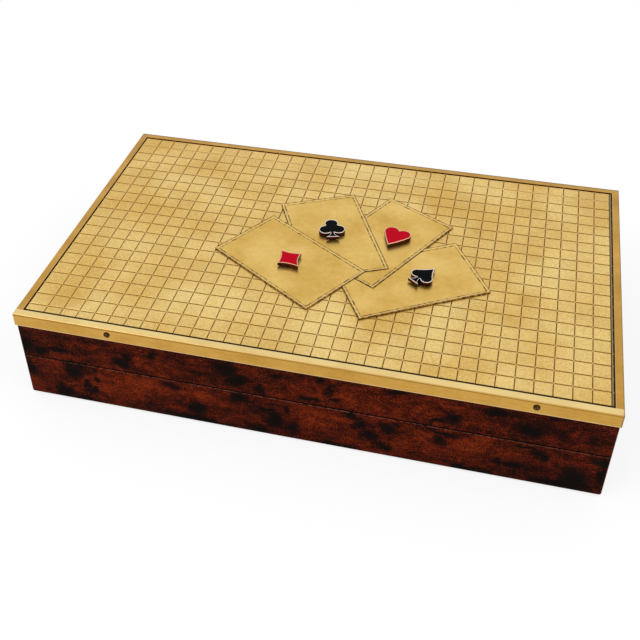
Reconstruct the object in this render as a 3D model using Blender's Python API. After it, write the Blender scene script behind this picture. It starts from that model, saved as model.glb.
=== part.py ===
"""Games box: a veneered wooden box whose hinged lid carries an engraved brass plate.

The plate is ruled with a grid. Four plain brass cards lie on it as a fan, each with one
raised suit filled with enamel. A mitred brass frame, screwed through its sides, holds the
plate down. Inside, the base is divided into wells for card packs and channels for counters.

Frame: +X to the right, +Y to the hinges at the back, +Z up, origin at the centre of the
underside. The lid swings about the hinge axis at the back of the seam.
"""

import math

import bmesh
import bpy
from mathutils import Matrix, Vector

MM = 0.001

# Clearances
FIT_GAP = 0.3 * MM          # between pieces that touch, seat or slide past each other
OVERRUN = 2.0 * MM          # how far every cutter runs past what it cuts

# The whole box, measured over the brass frame
BOX_LENGTH = 380.0 * MM
BOX_DEPTH = 235.0 * MM
FRAME_TOP = 72.4 * MM       # height of the frame's top above the table
SEAM_HEIGHT = 36.4 * MM     # where the lid parts from the base

# Wooden walls
WALL_THICK = 12.0 * MM
WALL_INSET = 0.6 * MM       # the veneer stands back from the brass
CORNER_ROUND = 1.6 * MM
REBATE_WIDTH = 5.0 * MM     # ledge in the base walls that takes the bottom board
BOARD_THICK = 4.0 * MM      # bottom board, and the board under the plate
PAD_THICK = 1.0 * MM        # baize under the base
PAD_MARGIN = 3.0 * MM
CLOTH_THICK = 0.8 * MM      # linings inside the base and the lid

# Brass frame round the lid
FRAME_SIDE = 9.8 * MM       # height of its upright flange
FRAME_FACE = 5.0 * MM       # width of its top flange
FRAME_SHEET = 1.2 * MM
FRAME_ARRIS = 0.5 * MM      # rounding of its outer edge

# Engraved plate
PLATE_THICK = 1.6 * MM
PLATE_RECESS = 0.6 * MM     # the plate lies this far below the frame's top
PLATE_GAP = 0.5 * MM        # open line between plate and frame
GROOVE_WIDTH = 0.8 * MM
GROOVE_DEPTH = 0.35 * MM
GRID_COLUMNS = 33
GRID_ROWS = 20
FIRST_COLUMN_SHARE = 1.2    # widths of the outer columns, in whole columns
LAST_COLUMN_SHARE = 1.1
LEFT_LAST_ROW_SHARE = 0.65  # the ruling runs out of square: depth of the front row
RIGHT_LAST_ROW_SHARE = 1.15

# Cards, life size, in the order in which they lie on each other, top one first
CARD_LENGTH = 91.5 * MM
CARD_WIDTH = 56.0 * MM
CARD_THICK = 0.8 * MM
CARD_SLOPE = 1.7 * MM       # width of the shallow bevel round a card
CARD_SLOPE_DROP = 0.45 * MM
CARD_NAMES = ("diamond", "club", "heart", "spade")
CARD_TURNS = {"diamond": -32.5, "club": -64.3, "heart": 61.6, "spade": 30.3}
CARD_PLACE_SHARE = {        # card centres from the plate's centre, in card lengths
    "diamond": (-0.326, -0.233),
    "club": (-0.073, 0.146),
    "heart": (0.316, 0.162),
    "spade": (0.590, -0.260),
}

# Raised suits
SUIT_SIZES = {              # height of each figure from foot to top
    "diamond": 22.2 * MM,
    "club": 21.2 * MM,
    "heart": 21.8 * MM,
    "spade": 20.8 * MM,
}
SUIT_HEIGHT = 2.5 * MM
SUIT_RIM = 0.6 * MM
SUIT_RECESS = 0.9 * MM
ENAMEL_DROP = 0.1 * MM      # the enamel lies this far below the rim
SUIT_TURNS = {"diamond": 46.0, "club": 16.0, "heart": -17.0, "spade": -37.0}
SUIT_PLACE_SHARE = {        # figure centres from the plate's centre, in card lengths
    "diamond": (-0.316, -0.255),
    "club": (-0.088, 0.191),
    "heart": (0.405, 0.194),
    "spade": (0.687, -0.223),
}
LOBE_STEPS = 7

# Hinges let into the back walls
HINGE_FROM_END = 70.0 * MM  # from the box's end to the middle of a hinge
HINGE_LENGTH = 48.0 * MM
HINGE_SETBACK = 4.0 * MM    # from the back of the veneer to the hinge axis
STOP_ANGLE = 95.5           # degrees at which the bevelled back edges would meet
LEAF_THICK = 1.0 * MM
KNUCKLE_RADIUS = 2.0 * MM
KNUCKLE_COUNT = 5
KNUCKLE_STEPS = 16
PIN_RADIUS = 0.9 * MM
PIN_STEPS = 10

# Screws
SCREW_STEPS = 8
HINGE_SCREW_COUNT = 2
HINGE_SCREW_HEAD = 1.7 * MM
HINGE_SCREW_SHANK = 0.8 * MM
HINGE_SCREW_LENGTH = 8.0 * MM
FRAME_SCREW_HEAD = 2.1 * MM
FRAME_SCREW_DOME = 0.5 * MM
FRAME_SCREW_SHANK = 0.9 * MM
FRAME_SCREW_FROM_LEFT = 65.0 * MM   # from a long side's ends to its two frame screws
FRAME_SCREW_FROM_RIGHT = 48.0 * MM

# Inside of the base
LINER_THICK = 2.5 * MM
LINER_LIP = 3.0 * MM        # the liners stand above the seam and locate the lid
DIVIDER_THICK = 4.0 * MM
DIVIDER_DROP = 1.0 * MM     # the dividers end this far below the seam
CARD_WELL_WIDTH = 96.0 * MM
CHANNEL_COUNT = 3
NOTCH_RADIUS = 13.0 * MM    # finger notches beside the card wells
NOTCH_STEPS = 20

# Places worked out from the sizes above
HALF_LENGTH = BOX_LENGTH / 2
HALF_DEPTH = BOX_DEPTH / 2
MITRE_CUT = FIT_GAP / math.sqrt(2)
WALL_FOOT = PAD_THICK + FIT_GAP
BASE_RIM = SEAM_HEIGHT - FIT_GAP / 2
LID_RIM = SEAM_HEIGHT + FIT_GAP / 2
WALL_INNER = WALL_INSET + WALL_THICK
PLATE_TOP = FRAME_TOP - PLATE_RECESS
PLATE_UNDER = PLATE_TOP - PLATE_THICK
PLATE_EDGE = FRAME_FACE + PLATE_GAP
BOARD_TOP = PLATE_UNDER - FIT_GAP
BOARD_UNDER = BOARD_TOP - BOARD_THICK
CARD_UNDER = PLATE_TOP + FIT_GAP
CARD_TOP = CARD_UNDER + CARD_THICK
SUIT_UNDER = CARD_TOP + FIT_GAP
SUIT_TOP = SUIT_UNDER + SUIT_HEIGHT
FLOOR_TOP = WALL_FOOT + BOARD_THICK
CLOTH_UNDER = FLOOR_TOP + FIT_GAP
CLOTH_TOP = CLOTH_UNDER + CLOTH_THICK
LINER_OUTER = WALL_INNER + FIT_GAP
LINER_INNER = LINER_OUTER + LINER_THICK
AXIS_Y = HALF_DEPTH - WALL_INSET - HINGE_SETBACK
LEAF_END_Y = HALF_DEPTH - WALL_INNER + FIT_GAP
LEAF_ROOT_Y = AXIS_Y - KNUCKLE_RADIUS - FIT_GAP
LEAF_SCREW_Y = (LEAF_END_Y + LEAF_ROOT_Y) / 2
FRAME_SCREW_LENGTH = FRAME_FACE - 2 * FIT_GAP   # ends short of the board under the plate
DIVIDER_FOOT = CLOTH_TOP + FIT_GAP
DIVIDER_TOP = SEAM_HEIGHT - DIVIDER_DROP

QUARTER = math.pi / 2
SIDE_TURNS = {"front": 0.0, "right": QUARTER, "back": 2 * QUARTER, "left": 3 * QUARTER}

BRASS = ((0.70, 0.50, 0.19), 0.32, 1.0)
FRAME_BRASS = ((0.62, 0.41, 0.13), 0.30, 1.0)
DARK_BRASS = ((0.10, 0.05, 0.03), 0.45, 1.0)
VENEER = ((0.085, 0.014, 0.007), 0.28, 0.0)
CEDAR = ((0.25, 0.10, 0.045), 0.5, 0.0)
BOARD = ((0.42, 0.27, 0.14), 0.6, 0.0)
BAIZE = ((0.02, 0.10, 0.05), 0.95, 0.0)
RED_ENAMEL = ((0.55, 0.005, 0.02), 0.12, 0.0)
BLACK_ENAMEL = ((0.006, 0.006, 0.007), 0.12, 0.0)


# Scene, materials and objects

def clear_scene():
    for obj in list(bpy.data.objects):
        bpy.data.objects.remove(obj, do_unlink=True)


def new_collection(name):
    group = bpy.data.collections.new(name)
    bpy.context.scene.collection.children.link(group)
    return group


def new_material(name, finish):
    colour, roughness, metallic = finish
    material = bpy.data.materials.new(name)
    material.use_nodes = True
    shader = material.node_tree.nodes["Principled BSDF"]
    shader.inputs["Base Color"].default_value = (*colour, 1.0)
    shader.inputs["Roughness"].default_value = roughness
    shader.inputs["Metallic"].default_value = metallic
    material.diffuse_color = (*colour, 1.0)
    return material


def add_object(name, bm, finish, group, smooth=False):
    """Turn a finished bmesh into one object of the box."""
    bmesh.ops.recalc_face_normals(bm, faces=bm.faces)
    mesh = bpy.data.meshes.new(name)
    bm.to_mesh(mesh)
    bm.free()
    obj = bpy.data.objects.new(name, mesh)
    group.objects.link(obj)
    if finish is None:
        obj.hide_render = True
        obj.display_type = "WIRE"
        return obj
    mesh.materials.append(new_material(name, finish))
    if smooth:
        mesh.shade_smooth()
        mesh.set_sharp_from_angle(angle=math.radians(40))
    return obj


def cut(obj, *cutters, operation="DIFFERENCE"):
    for cutter in cutters:
        modifier = obj.modifiers.new(cutter.name, "BOOLEAN")
        modifier.operation = operation
        modifier.solver = "EXACT"
        modifier.object = cutter


# Basic shapes

def add_box(bm, low, high):
    """Add a box between two corners."""
    low, high = Vector(low), Vector(high)
    place = Matrix.Translation((low + high) / 2) @ Matrix.Diagonal((*(high - low), 1.0))
    return bmesh.ops.create_cube(bm, size=1.0, matrix=place)["verts"]


def add_rod(bm, start, end, radius, steps):
    """Add a round rod between two points."""
    start, end = Vector(start), Vector(end)
    run = end - start
    place = Matrix.Translation((start + end) / 2) @ run.to_track_quat("Z", "Y").to_matrix().to_4x4()
    bmesh.ops.create_cone(bm, cap_ends=True, segments=steps, radius1=radius, radius2=radius,
                          depth=run.length, matrix=place)


def add_prism(bm, outline, low, high):
    """Add an upright prism on a flat outline and return its top face."""
    face = bm.faces.new([bm.verts.new((x, y, low)) for x, y in outline])
    grown = bmesh.ops.extrude_face_region(bm, geom=[face])["geom"]
    for item in grown:
        if isinstance(item, bmesh.types.BMVert):
            item.co.z = high
    return next(item for item in grown if isinstance(item, bmesh.types.BMFace))


def add_turned(bm, profile, place):
    """Spin a profile of (radius, height) points about the Z axis of a placing matrix."""
    verts = [bm.verts.new(place @ Vector((radius, 0.0, height))) for radius, height in profile]
    edges = [bm.edges.new(pair) for pair in zip(verts, verts[1:])]
    bmesh.ops.spin(bm, geom=verts + edges, cent=place.translation, axis=place.col[2].xyz,
                   angle=2 * math.pi, steps=SCREW_STEPS, use_merge=True)


def merge_poles(bm):
    bmesh.ops.remove_doubles(bm, verts=bm.verts, dist=FIT_GAP / 1000)


def arc(centre, radius, start, end, steps):
    """Points of a circle's arc between two angles in degrees."""
    points = []
    for step in range(steps + 1):
        angle = math.radians(start + (end - start) * step / steps)
        points.append((centre[0] + radius * math.cos(angle), centre[1] + radius * math.sin(angle)))
    return points


def box_object(name, low, high, finish, group):
    bm = bmesh.new()
    add_box(bm, low, high)
    return add_object(name, bm, finish, group)


def rail(name, side, section, finish, group):
    """A strip along one side of the box, mitred at both ends.

    The section's points are (distance inwards from the brass frame's face, height).
    """
    run, reach = (BOX_LENGTH, HALF_DEPTH) if side in ("front", "back") else (BOX_DEPTH, HALF_LENGTH)
    bm = bmesh.new()
    near = [bm.verts.new((0.0, inwards, height)) for inwards, height in section]
    grown = bmesh.ops.extrude_face_region(bm, geom=[bm.faces.new(near)])["geom"]
    for vert in grown:
        if isinstance(vert, bmesh.types.BMVert):
            vert.co.x = run / 2 - vert.co.y - MITRE_CUT
    for vert in near:
        vert.co.x = vert.co.y + MITRE_CUT - run / 2
    for vert in bm.verts:
        vert.co.y -= reach
    obj = add_object(name, bm, finish, group)
    obj.rotation_euler.z = SIDE_TURNS[side]
    return obj


def side_place(side, along, outwards, height):
    """A placing matrix whose Z axis points out of one side of the box."""
    reach = HALF_DEPTH if side in ("front", "back") else HALF_LENGTH
    local = Matrix.Translation((along, -reach - outwards, height))
    return Matrix.Rotation(SIDE_TURNS[side], 4, "Z") @ local @ Matrix.Rotation(QUARTER, 4, "X")


# Cutters shared by several pieces

def body_envelope(name, low, high, round_foot, cutters):
    """The rounded outer form of the base or the lid, which trims its walls."""
    bm = bmesh.new()
    reach = Vector((HALF_LENGTH - WALL_INSET, HALF_DEPTH - WALL_INSET, 0.0))
    add_box(bm, (-reach.x, -reach.y, low), (reach.x, reach.y, high))
    edges = []
    for edge in bm.edges:
        first, second = (vert.co for vert in edge.verts)
        upright = abs(first.z - second.z) > FIT_GAP
        at_foot = max(first.z, second.z) < low + FIT_GAP
        if upright or (round_foot and at_foot):
            edges.append(edge)
    bmesh.ops.bevel(bm, geom=edges, offset=CORNER_ROUND, offset_type="OFFSET", segments=3,
                    profile=0.5, affect="EDGES")
    return add_object(name, bm, None, cutters)


def back_bevel(cutters):
    """The long notch behind the hinge axis, which gives the lid room to swing and stops it."""
    run = HINGE_SETBACK + WALL_INSET + OVERRUN
    rise = run * math.tan(math.radians(STOP_ANGLE / 2))
    bm = bmesh.new()
    corners = ((AXIS_Y, SEAM_HEIGHT), (AXIS_Y + run, SEAM_HEIGHT - rise),
               (AXIS_Y + run, SEAM_HEIGHT + rise))
    reach = HALF_LENGTH + OVERRUN
    near = [bm.verts.new((-reach, y, z)) for y, z in corners]
    grown = bmesh.ops.extrude_face_region(bm, geom=[bm.faces.new(near)])["geom"]
    for vert in grown:
        if isinstance(vert, bmesh.types.BMVert):
            vert.co.x = reach
    return add_object("back_bevel_cutter", bm, None, cutters)


def hinge_middles():
    reach = HALF_LENGTH - HINGE_FROM_END
    return (-reach, reach)


def hinge_pockets(cutters):
    """Mortises for the leaves and the round seats for the knuckles, both hinges at once."""
    mortise, seat = bmesh.new(), bmesh.new()
    depth = FIT_GAP / 2 + LEAF_THICK + FIT_GAP
    reach = HINGE_LENGTH / 2 + FIT_GAP
    for middle in hinge_middles():
        add_box(mortise, (middle - reach, LEAF_END_Y - FIT_GAP - OVERRUN, SEAM_HEIGHT - depth),
                (middle + reach, AXIS_Y, SEAM_HEIGHT + depth))
        add_rod(seat, (middle - reach, AXIS_Y, SEAM_HEIGHT), (middle + reach, AXIS_Y, SEAM_HEIGHT),
                KNUCKLE_RADIUS + FIT_GAP, KNUCKLE_STEPS)
    return (add_object("hinge_mortise_cutter", mortise, None, cutters),
            add_object("hinge_seat_cutter", seat, None, cutters))


def hinge_screw_places(up):
    """Heads of the leaf screws: up is 1 in the base's leaves, -1 in the lid's."""
    places = {}
    for middle, hand in zip(hinge_middles(), ("left", "right")):
        for index in range(HINGE_SCREW_COUNT):
            share = (index + 0.5) / HINGE_SCREW_COUNT - 0.5
            spot = (middle + share * HINGE_LENGTH, LEAF_SCREW_Y, SEAM_HEIGHT - up * FIT_GAP / 2)
            turn = Matrix.Identity(4) if up > 0 else Matrix.Rotation(math.pi, 4, "X")
            places["%s_%d" % (hand, index + 1)] = Matrix.Translation(spot) @ turn
    return places


def hinge_screw_profile(grow, above):
    drop = HINGE_SCREW_HEAD - HINGE_SCREW_SHANK
    profile = [(0.0, above), (HINGE_SCREW_HEAD + grow, above)]
    if above > 0:
        profile.append((HINGE_SCREW_HEAD + grow, 0.0))
    return profile + [(HINGE_SCREW_SHANK + grow, -drop),
                      (HINGE_SCREW_SHANK + grow, -HINGE_SCREW_LENGTH - grow),
                      (0.0, -HINGE_SCREW_LENGTH - grow)]


def frame_screw_places():
    """Two screws in each long side of the frame and one in the middle of each short side."""
    height = FRAME_TOP - FRAME_SIDE / 2
    places = {}
    for side in ("front", "back"):
        spots = (FRAME_SCREW_FROM_LEFT - HALF_LENGTH, HALF_LENGTH - FRAME_SCREW_FROM_RIGHT)
        for index, along in enumerate(spots):
            places["%s_%d" % (side, index + 1)] = side_place(side, along, FIT_GAP, height)
    for side in ("left", "right"):
        places[side] = side_place(side, 0.0, FIT_GAP, height)
    return places


def screw_holes(name, profile, places, cutters):
    """One cutter for all the holes of a set of screws."""
    bm = bmesh.new()
    for place in places.values():
        add_turned(bm, profile, place)
    merge_poles(bm)
    return add_object(name, bm, None, cutters)


def build_screws(name, profile, places, finish, group):
    for spot, place in places.items():
        bm = bmesh.new()
        add_turned(bm, profile, place)
        merge_poles(bm)
        add_object(name + "_" + spot, bm, finish, group, smooth=True)


# Base

def build_base(group, cutters, bevel, pockets):
    envelope = body_envelope("base_envelope", WALL_FOOT, SEAM_HEIGHT + OVERRUN, True, cutters)
    ledge = WALL_FOOT + BOARD_THICK + FIT_GAP
    rebate = WALL_INNER - REBATE_WIDTH
    section = [(0.0, WALL_FOOT - OVERRUN), (rebate, WALL_FOOT - OVERRUN), (rebate, ledge),
               (WALL_INNER, ledge), (WALL_INNER, BASE_RIM), (0.0, BASE_RIM)]
    leaf_holes = screw_holes("base_screw_holes", hinge_screw_profile(FIT_GAP, OVERRUN),
                             hinge_screw_places(1), cutters)
    walls = {}
    for side in SIDE_TURNS:
        walls[side] = rail("base_wall_" + side, side, section, VENEER, group)
        cut(walls[side], envelope, operation="INTERSECT")
        if side != "front":
            cut(walls[side], bevel)
    cut(walls["back"], *pockets, leaf_holes)

    board_reach = (HALF_LENGTH - rebate - FIT_GAP, HALF_DEPTH - rebate - FIT_GAP)
    box_object("base_board", (-board_reach[0], -board_reach[1], WALL_FOOT),
               (board_reach[0], board_reach[1], FLOOR_TOP), BOARD, group)
    pad_reach = (HALF_LENGTH - WALL_INSET - PAD_MARGIN, HALF_DEPTH - WALL_INSET - PAD_MARGIN)
    box_object("baize_pad", (-pad_reach[0], -pad_reach[1], 0.0),
               (pad_reach[0], pad_reach[1], PAD_THICK), BAIZE, group)
    build_interior(group, cutters)
    return leaf_holes


def build_interior(group, cutters):
    """Liners, floor cloth, dividers and the finger notches of the base."""
    liner = [(LINER_OUTER, CLOTH_UNDER), (LINER_INNER, CLOTH_UNDER),
             (LINER_INNER, SEAM_HEIGHT + LINER_LIP), (LINER_OUTER, SEAM_HEIGHT + LINER_LIP)]
    for side in SIDE_TURNS:
        rail("base_liner_" + side, side, liner, CEDAR, group)
    inner_x = HALF_LENGTH - LINER_INNER - FIT_GAP
    inner_y = HALF_DEPTH - LINER_INNER - FIT_GAP
    box_object("floor_cloth", (-inner_x, -inner_y, CLOTH_UNDER), (inner_x, inner_y, CLOTH_TOP),
               BAIZE, group)

    well_edge = inner_x - CARD_WELL_WIDTH
    divider_inner = well_edge - DIVIDER_THICK
    notches = bmesh.new()
    for y in (-inner_y / 2, inner_y / 2):
        add_rod(notches, (-inner_x, y, DIVIDER_TOP), (inner_x, y, DIVIDER_TOP),
                NOTCH_RADIUS, NOTCH_STEPS)
    notch_rods = add_object("notch_cutter", notches, None, cutters)
    for hand, name in ((-1, "left"), (1, "right")):
        near, far = sorted((hand * divider_inner, hand * well_edge))
        long_divider = box_object("long_divider_" + name, (near, -inner_y, DIVIDER_FOOT),
                                  (far, inner_y, DIVIDER_TOP), CEDAR, group)
        cut(long_divider, notch_rods)
        near, far = sorted((hand * (well_edge + FIT_GAP), hand * inner_x))
        box_object("cross_divider_" + name, (near, -DIVIDER_THICK / 2, DIVIDER_FOOT),
                   (far, DIVIDER_THICK / 2, DIVIDER_TOP), CEDAR, group)

    field = 2 * divider_inner
    channel = (field - (CHANNEL_COUNT - 1) * DIVIDER_THICK) / CHANNEL_COUNT
    for index in range(1, CHANNEL_COUNT):
        start = index * (channel + DIVIDER_THICK) - DIVIDER_THICK - divider_inner
        box_object("channel_partition_%d" % index, (start, -inner_y, DIVIDER_FOOT),
                   (start + DIVIDER_THICK, inner_y, DIVIDER_TOP), CEDAR, group)


# Lid

def build_lid(group, cutters, bevel, pockets):
    envelope = body_envelope("lid_envelope", SEAM_HEIGHT - OVERRUN, FRAME_TOP, False, cutters)
    shoulder = FRAME_SHEET + FIT_GAP
    shoulder_height = FRAME_TOP - FRAME_SIDE - FIT_GAP
    top = FRAME_TOP - FRAME_SHEET - FIT_GAP
    ledge = BOARD_UNDER - FIT_GAP
    section = [(0.0, LID_RIM), (WALL_INNER, LID_RIM), (WALL_INNER, ledge), (FRAME_FACE, ledge),
               (FRAME_FACE, top), (shoulder, top), (shoulder, shoulder_height), (0.0, shoulder_height)]
    leaf_holes = screw_holes("lid_screw_holes", hinge_screw_profile(FIT_GAP, OVERRUN),
                             hinge_screw_places(-1), cutters)
    frame_holes = frame_screw_holes(cutters)
    for side in SIDE_TURNS:
        wall = rail("lid_wall_" + side, side, section, VENEER, group)
        cut(wall, envelope, operation="INTERSECT")
        if side != "front":
            cut(wall, bevel)
        if side == "back":
            cut(wall, *pockets, leaf_holes)
        cut(wall, frame_holes)
        strip = rail("lid_frame_" + side, side, frame_section(), FRAME_BRASS, group)
        cut(strip, frame_holes)

    board = (HALF_LENGTH - FRAME_FACE - FIT_GAP, HALF_DEPTH - FRAME_FACE - FIT_GAP)
    box_object("lid_board", (-board[0], -board[1], BOARD_UNDER), (board[0], board[1], BOARD_TOP),
               BOARD, group)
    cloth = (HALF_LENGTH - WALL_INNER - FIT_GAP, HALF_DEPTH - WALL_INNER - FIT_GAP)
    cloth_top = BOARD_UNDER - FIT_GAP
    box_object("lid_cloth", (-cloth[0], -cloth[1], cloth_top - CLOTH_THICK),
               (cloth[0], cloth[1], cloth_top), BAIZE, group)
    build_screws("frame_screw", frame_screw_profile(), frame_screw_places(), DARK_BRASS, group)
    engraved_plate(group)
    build_cards(group, cutters)
    return leaf_holes


def frame_section():
    """The frame's angle section, its outer edge rounded."""
    under = FRAME_TOP - FRAME_SHEET
    foot = FRAME_TOP - FRAME_SIDE
    edge = arc((FRAME_ARRIS, FRAME_TOP - FRAME_ARRIS), FRAME_ARRIS, 90, 180, 3)
    return [(0.0, foot), (FRAME_SHEET, foot), (FRAME_SHEET, under), (FRAME_FACE, under),
            (FRAME_FACE, FRAME_TOP), *edge]


def frame_screw_profile():
    """A low domed head outside the frame and a plain shank into the wall."""
    half = FRAME_SCREW_HEAD / math.sqrt(2)
    return [(0.0, FRAME_SCREW_DOME), (half, FRAME_SCREW_DOME * (1 - 0.25)), (FRAME_SCREW_HEAD, 0.0),
            (FRAME_SCREW_SHANK, 0.0), (FRAME_SCREW_SHANK, -FRAME_SCREW_LENGTH),
            (0.0, -FRAME_SCREW_LENGTH)]


def frame_screw_holes(cutters):
    radius = FRAME_SCREW_SHANK + FIT_GAP
    depth = -FRAME_SCREW_LENGTH - FIT_GAP
    profile = [(0.0, OVERRUN), (radius, OVERRUN), (radius, depth), (0.0, depth)]
    return screw_holes("frame_screw_holes", profile, frame_screw_places(), cutters)


def grid_x(column):
    """Column lines: even, but for a wider first and last column."""
    left = PLATE_EDGE - HALF_LENGTH
    pitch = -2 * left / (GRID_COLUMNS - 2 + FIRST_COLUMN_SHARE + LAST_COLUMN_SHARE)
    if column == 0:
        return left
    if column == GRID_COLUMNS:
        return -left
    return left + (column - 1 + FIRST_COLUMN_SHARE) * pitch


def grid_y(row, x):
    """Row lines: even at each end, and out of square, so that the front row tapers."""
    back = HALF_DEPTH - PLATE_EDGE
    if row == GRID_ROWS:
        return -back
    left = back - row * 2 * back / (GRID_ROWS - 1 + LEFT_LAST_ROW_SHARE)
    right = back - row * 2 * back / (GRID_ROWS - 1 + RIGHT_LAST_ROW_SHARE)
    across = (x / (HALF_LENGTH - PLATE_EDGE) + 1) / 2
    return left + (right - left) * across


def engraved_plate(group):
    """The ruled plate: every cell's edge runs down into a shared V groove."""
    bm = bmesh.new()
    bmesh.ops.create_grid(bm, x_segments=GRID_COLUMNS, y_segments=GRID_ROWS, size=0.5)
    crossings = list(bm.verts)
    for vert in crossings:
        x = grid_x(round((vert.co.x + 0.5) * GRID_COLUMNS))
        vert.co = (x, grid_y(round((0.5 - vert.co.y) * GRID_ROWS), x), PLATE_TOP)
    bmesh.ops.inset_individual(bm, faces=list(bm.faces), thickness=GROOVE_WIDTH / 2,
                               use_even_offset=True)
    for vert in crossings:
        vert.co.z -= GROOVE_DEPTH
    border = [edge for edge in bm.edges if edge.is_boundary]
    skirt = bmesh.ops.extrude_edge_only(bm, edges=border)["geom"]
    for item in skirt:
        if isinstance(item, bmesh.types.BMVert):
            item.co.z = PLATE_UNDER
    bmesh.ops.holes_fill(bm, edges=[edge for edge in bm.edges if edge.is_boundary], sides=0)
    return add_object("lid_plate", bm, BRASS, group)


# Cards and suits

def card_box(bm, name, grow, low, high):
    """A card's outline between two heights, at its place in the fan."""
    reach = (CARD_LENGTH / 2 + grow, CARD_WIDTH / 2 + grow)
    verts = add_box(bm, (-reach[0], -reach[1], low), (reach[0], reach[1], high))
    bmesh.ops.transform(bm, matrix=place_on_plate(CARD_PLACE_SHARE[name], CARD_TURNS[name]),
                        verts=verts)
    return verts


def place_on_plate(share, turn):
    shift = Matrix.Translation((share[0] * CARD_LENGTH, share[1] * CARD_LENGTH, 0.0))
    return shift @ Matrix.Rotation(math.radians(turn), 4, "Z")


def build_cards(group, cutters):
    """Four cards of one thickness: each is cut back along the edges of those above it."""
    above = []
    for name in CARD_NAMES:
        bm = bmesh.new()
        card_box(bm, name, 0.0, CARD_UNDER, CARD_TOP)
        face = max(bm.faces, key=lambda face: face.calc_center_median().z)
        corners = list(face.verts)
        bmesh.ops.inset_region(bm, faces=[face], thickness=CARD_SLOPE, use_even_offset=True)
        for corner in corners:
            corner.co.z -= CARD_SLOPE_DROP
        card = add_object("card_" + name, bm, BRASS, group)
        cut(card, *above)
        bm = bmesh.new()
        card_box(bm, name, FIT_GAP, CARD_UNDER - OVERRUN, CARD_TOP + OVERRUN)
        above.append(add_object("card_cutter_" + name, bm, None, cutters))
        build_suit(name, group)


def scaled(points, size):
    return [(x * size, y * size) for x, y in points]


def mirrored(points):
    """Complete a figure whose right half runs from its foot to its top."""
    left = [(-x, y) for x, y in reversed(points) if x > 0]
    return points + left


def meeting_angle(first, second, radius):
    """Where the arc about the first centre reaches the one about the second, outside both."""
    run = (second[0] - first[0], second[1] - first[1])
    spread = math.degrees(math.acos(math.hypot(*run) / 2 / radius))
    return math.degrees(math.atan2(run[1], run[0])) - spread


def diamond_outline():
    """Four corners joined by hollow sides."""
    right_share, top_share, hollow_share = (0.43, 0.0), (0.0, 0.5), 0.06
    steps = 4
    side = []
    for step in range(steps):
        along = step / steps
        sag = 4 * hollow_share * along * (1 - along)
        side.append((right_share[0] * (1 - along) - sag, top_share[1] * along - sag))
    half = side + [top_share] + [(-x, y) for x, y in reversed(side[1:])]
    return half + [(-x, -y) for x, y in half]


def heart_outline():
    lobe_share, radius_share, tip_share = (0.205, 0.21), 0.24, -0.5
    notch = 180 - math.degrees(math.acos(lobe_share[0] / radius_share))
    right = [(0.0, tip_share), *arc(lobe_share, radius_share, -35, notch, LOBE_STEPS + 2)]
    right[-1] = (0.0, right[-1][1])
    return right + [(-x, y) for x, y in reversed(right[1:-1])]


def stem_half():
    """Right half of the flared foot that a club and a spade stand on."""
    foot_share = ((0.2, -0.5), (0.12, -0.41), (0.1, -0.32))
    return list(foot_share)


def club_outline():
    side_share, top_share, radius_share = (0.212, -0.075), (0.0, 0.265), 0.228
    outer = meeting_angle(side_share, top_share, radius_share)
    right = arc(side_share, radius_share, -125, outer, LOBE_STEPS)
    rise = math.degrees(math.atan2(right[-1][1] - top_share[1], right[-1][0]))
    crown = arc(top_share, radius_share, rise, 90, LOBE_STEPS - 2)[1:]
    crown[-1] = (0.0, crown[-1][1])
    return mirrored(stem_half() + right + crown)


def spade_outline():
    lobe_share, radius_share, tip_share = (0.2, -0.1), 0.2, 0.5
    lobe = arc(lobe_share, radius_share, -115, 40, LOBE_STEPS)
    flank_share = (0.13, 0.27)
    return mirrored(stem_half() + lobe + [flank_share, (0.0, tip_share)])


OUTLINES = {"diamond": diamond_outline, "club": club_outline, "heart": heart_outline,
            "spade": spade_outline}


def build_suit(name, group):
    """A raised brass figure with a sunk face, and the enamel that fills it."""
    outline = scaled(OUTLINES[name](), SUIT_SIZES[name])
    place = place_on_plate(SUIT_PLACE_SHARE[name], SUIT_TURNS[name])
    bm = bmesh.new()
    face = add_prism(bm, outline, SUIT_UNDER, SUIT_TOP)
    bmesh.ops.inset_region(bm, faces=[face], thickness=SUIT_RIM, use_even_offset=True)
    sunk = bmesh.ops.extrude_face_region(bm, geom=[face])["geom"]
    bmesh.ops.delete(bm, geom=[face], context="FACES_ONLY")
    for item in sunk:
        if isinstance(item, bmesh.types.BMVert):
            item.co.z -= SUIT_RECESS
    bmesh.ops.transform(bm, matrix=place, verts=bm.verts)
    add_object("suit_" + name, bm, DARK_BRASS, group)

    bm = bmesh.new()
    flat = bm.faces.new([bm.verts.new((x, y, SUIT_TOP - ENAMEL_DROP)) for x, y in outline])
    bmesh.ops.recalc_face_normals(bm, faces=[flat])
    ring = bmesh.ops.inset_region(bm, faces=[flat], thickness=SUIT_RIM + FIT_GAP,
                                  use_boundary=True, use_even_offset=True)["faces"]
    inner = [vert.co.xy.copy() for vert in flat.verts]
    bmesh.ops.delete(bm, geom=ring + [flat], context="FACES")
    add_prism(bm, inner, SUIT_TOP - SUIT_RECESS + FIT_GAP, SUIT_TOP - ENAMEL_DROP)
    bmesh.ops.transform(bm, matrix=place, verts=bm.verts)
    finish = RED_ENAMEL if name in ("diamond", "heart") else BLACK_ENAMEL
    add_object("enamel_" + name, bm, finish, group)


# Hinges

def knuckle_spans(middle):
    """The X ranges of a hinge's knuckles, from left to right."""
    width = (HINGE_LENGTH - (KNUCKLE_COUNT - 1) * FIT_GAP) / KNUCKLE_COUNT
    start = middle - HINGE_LENGTH / 2
    return [(start + index * (width + FIT_GAP), start + index * (width + FIT_GAP) + width)
            for index in range(KNUCKLE_COUNT)]


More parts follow.
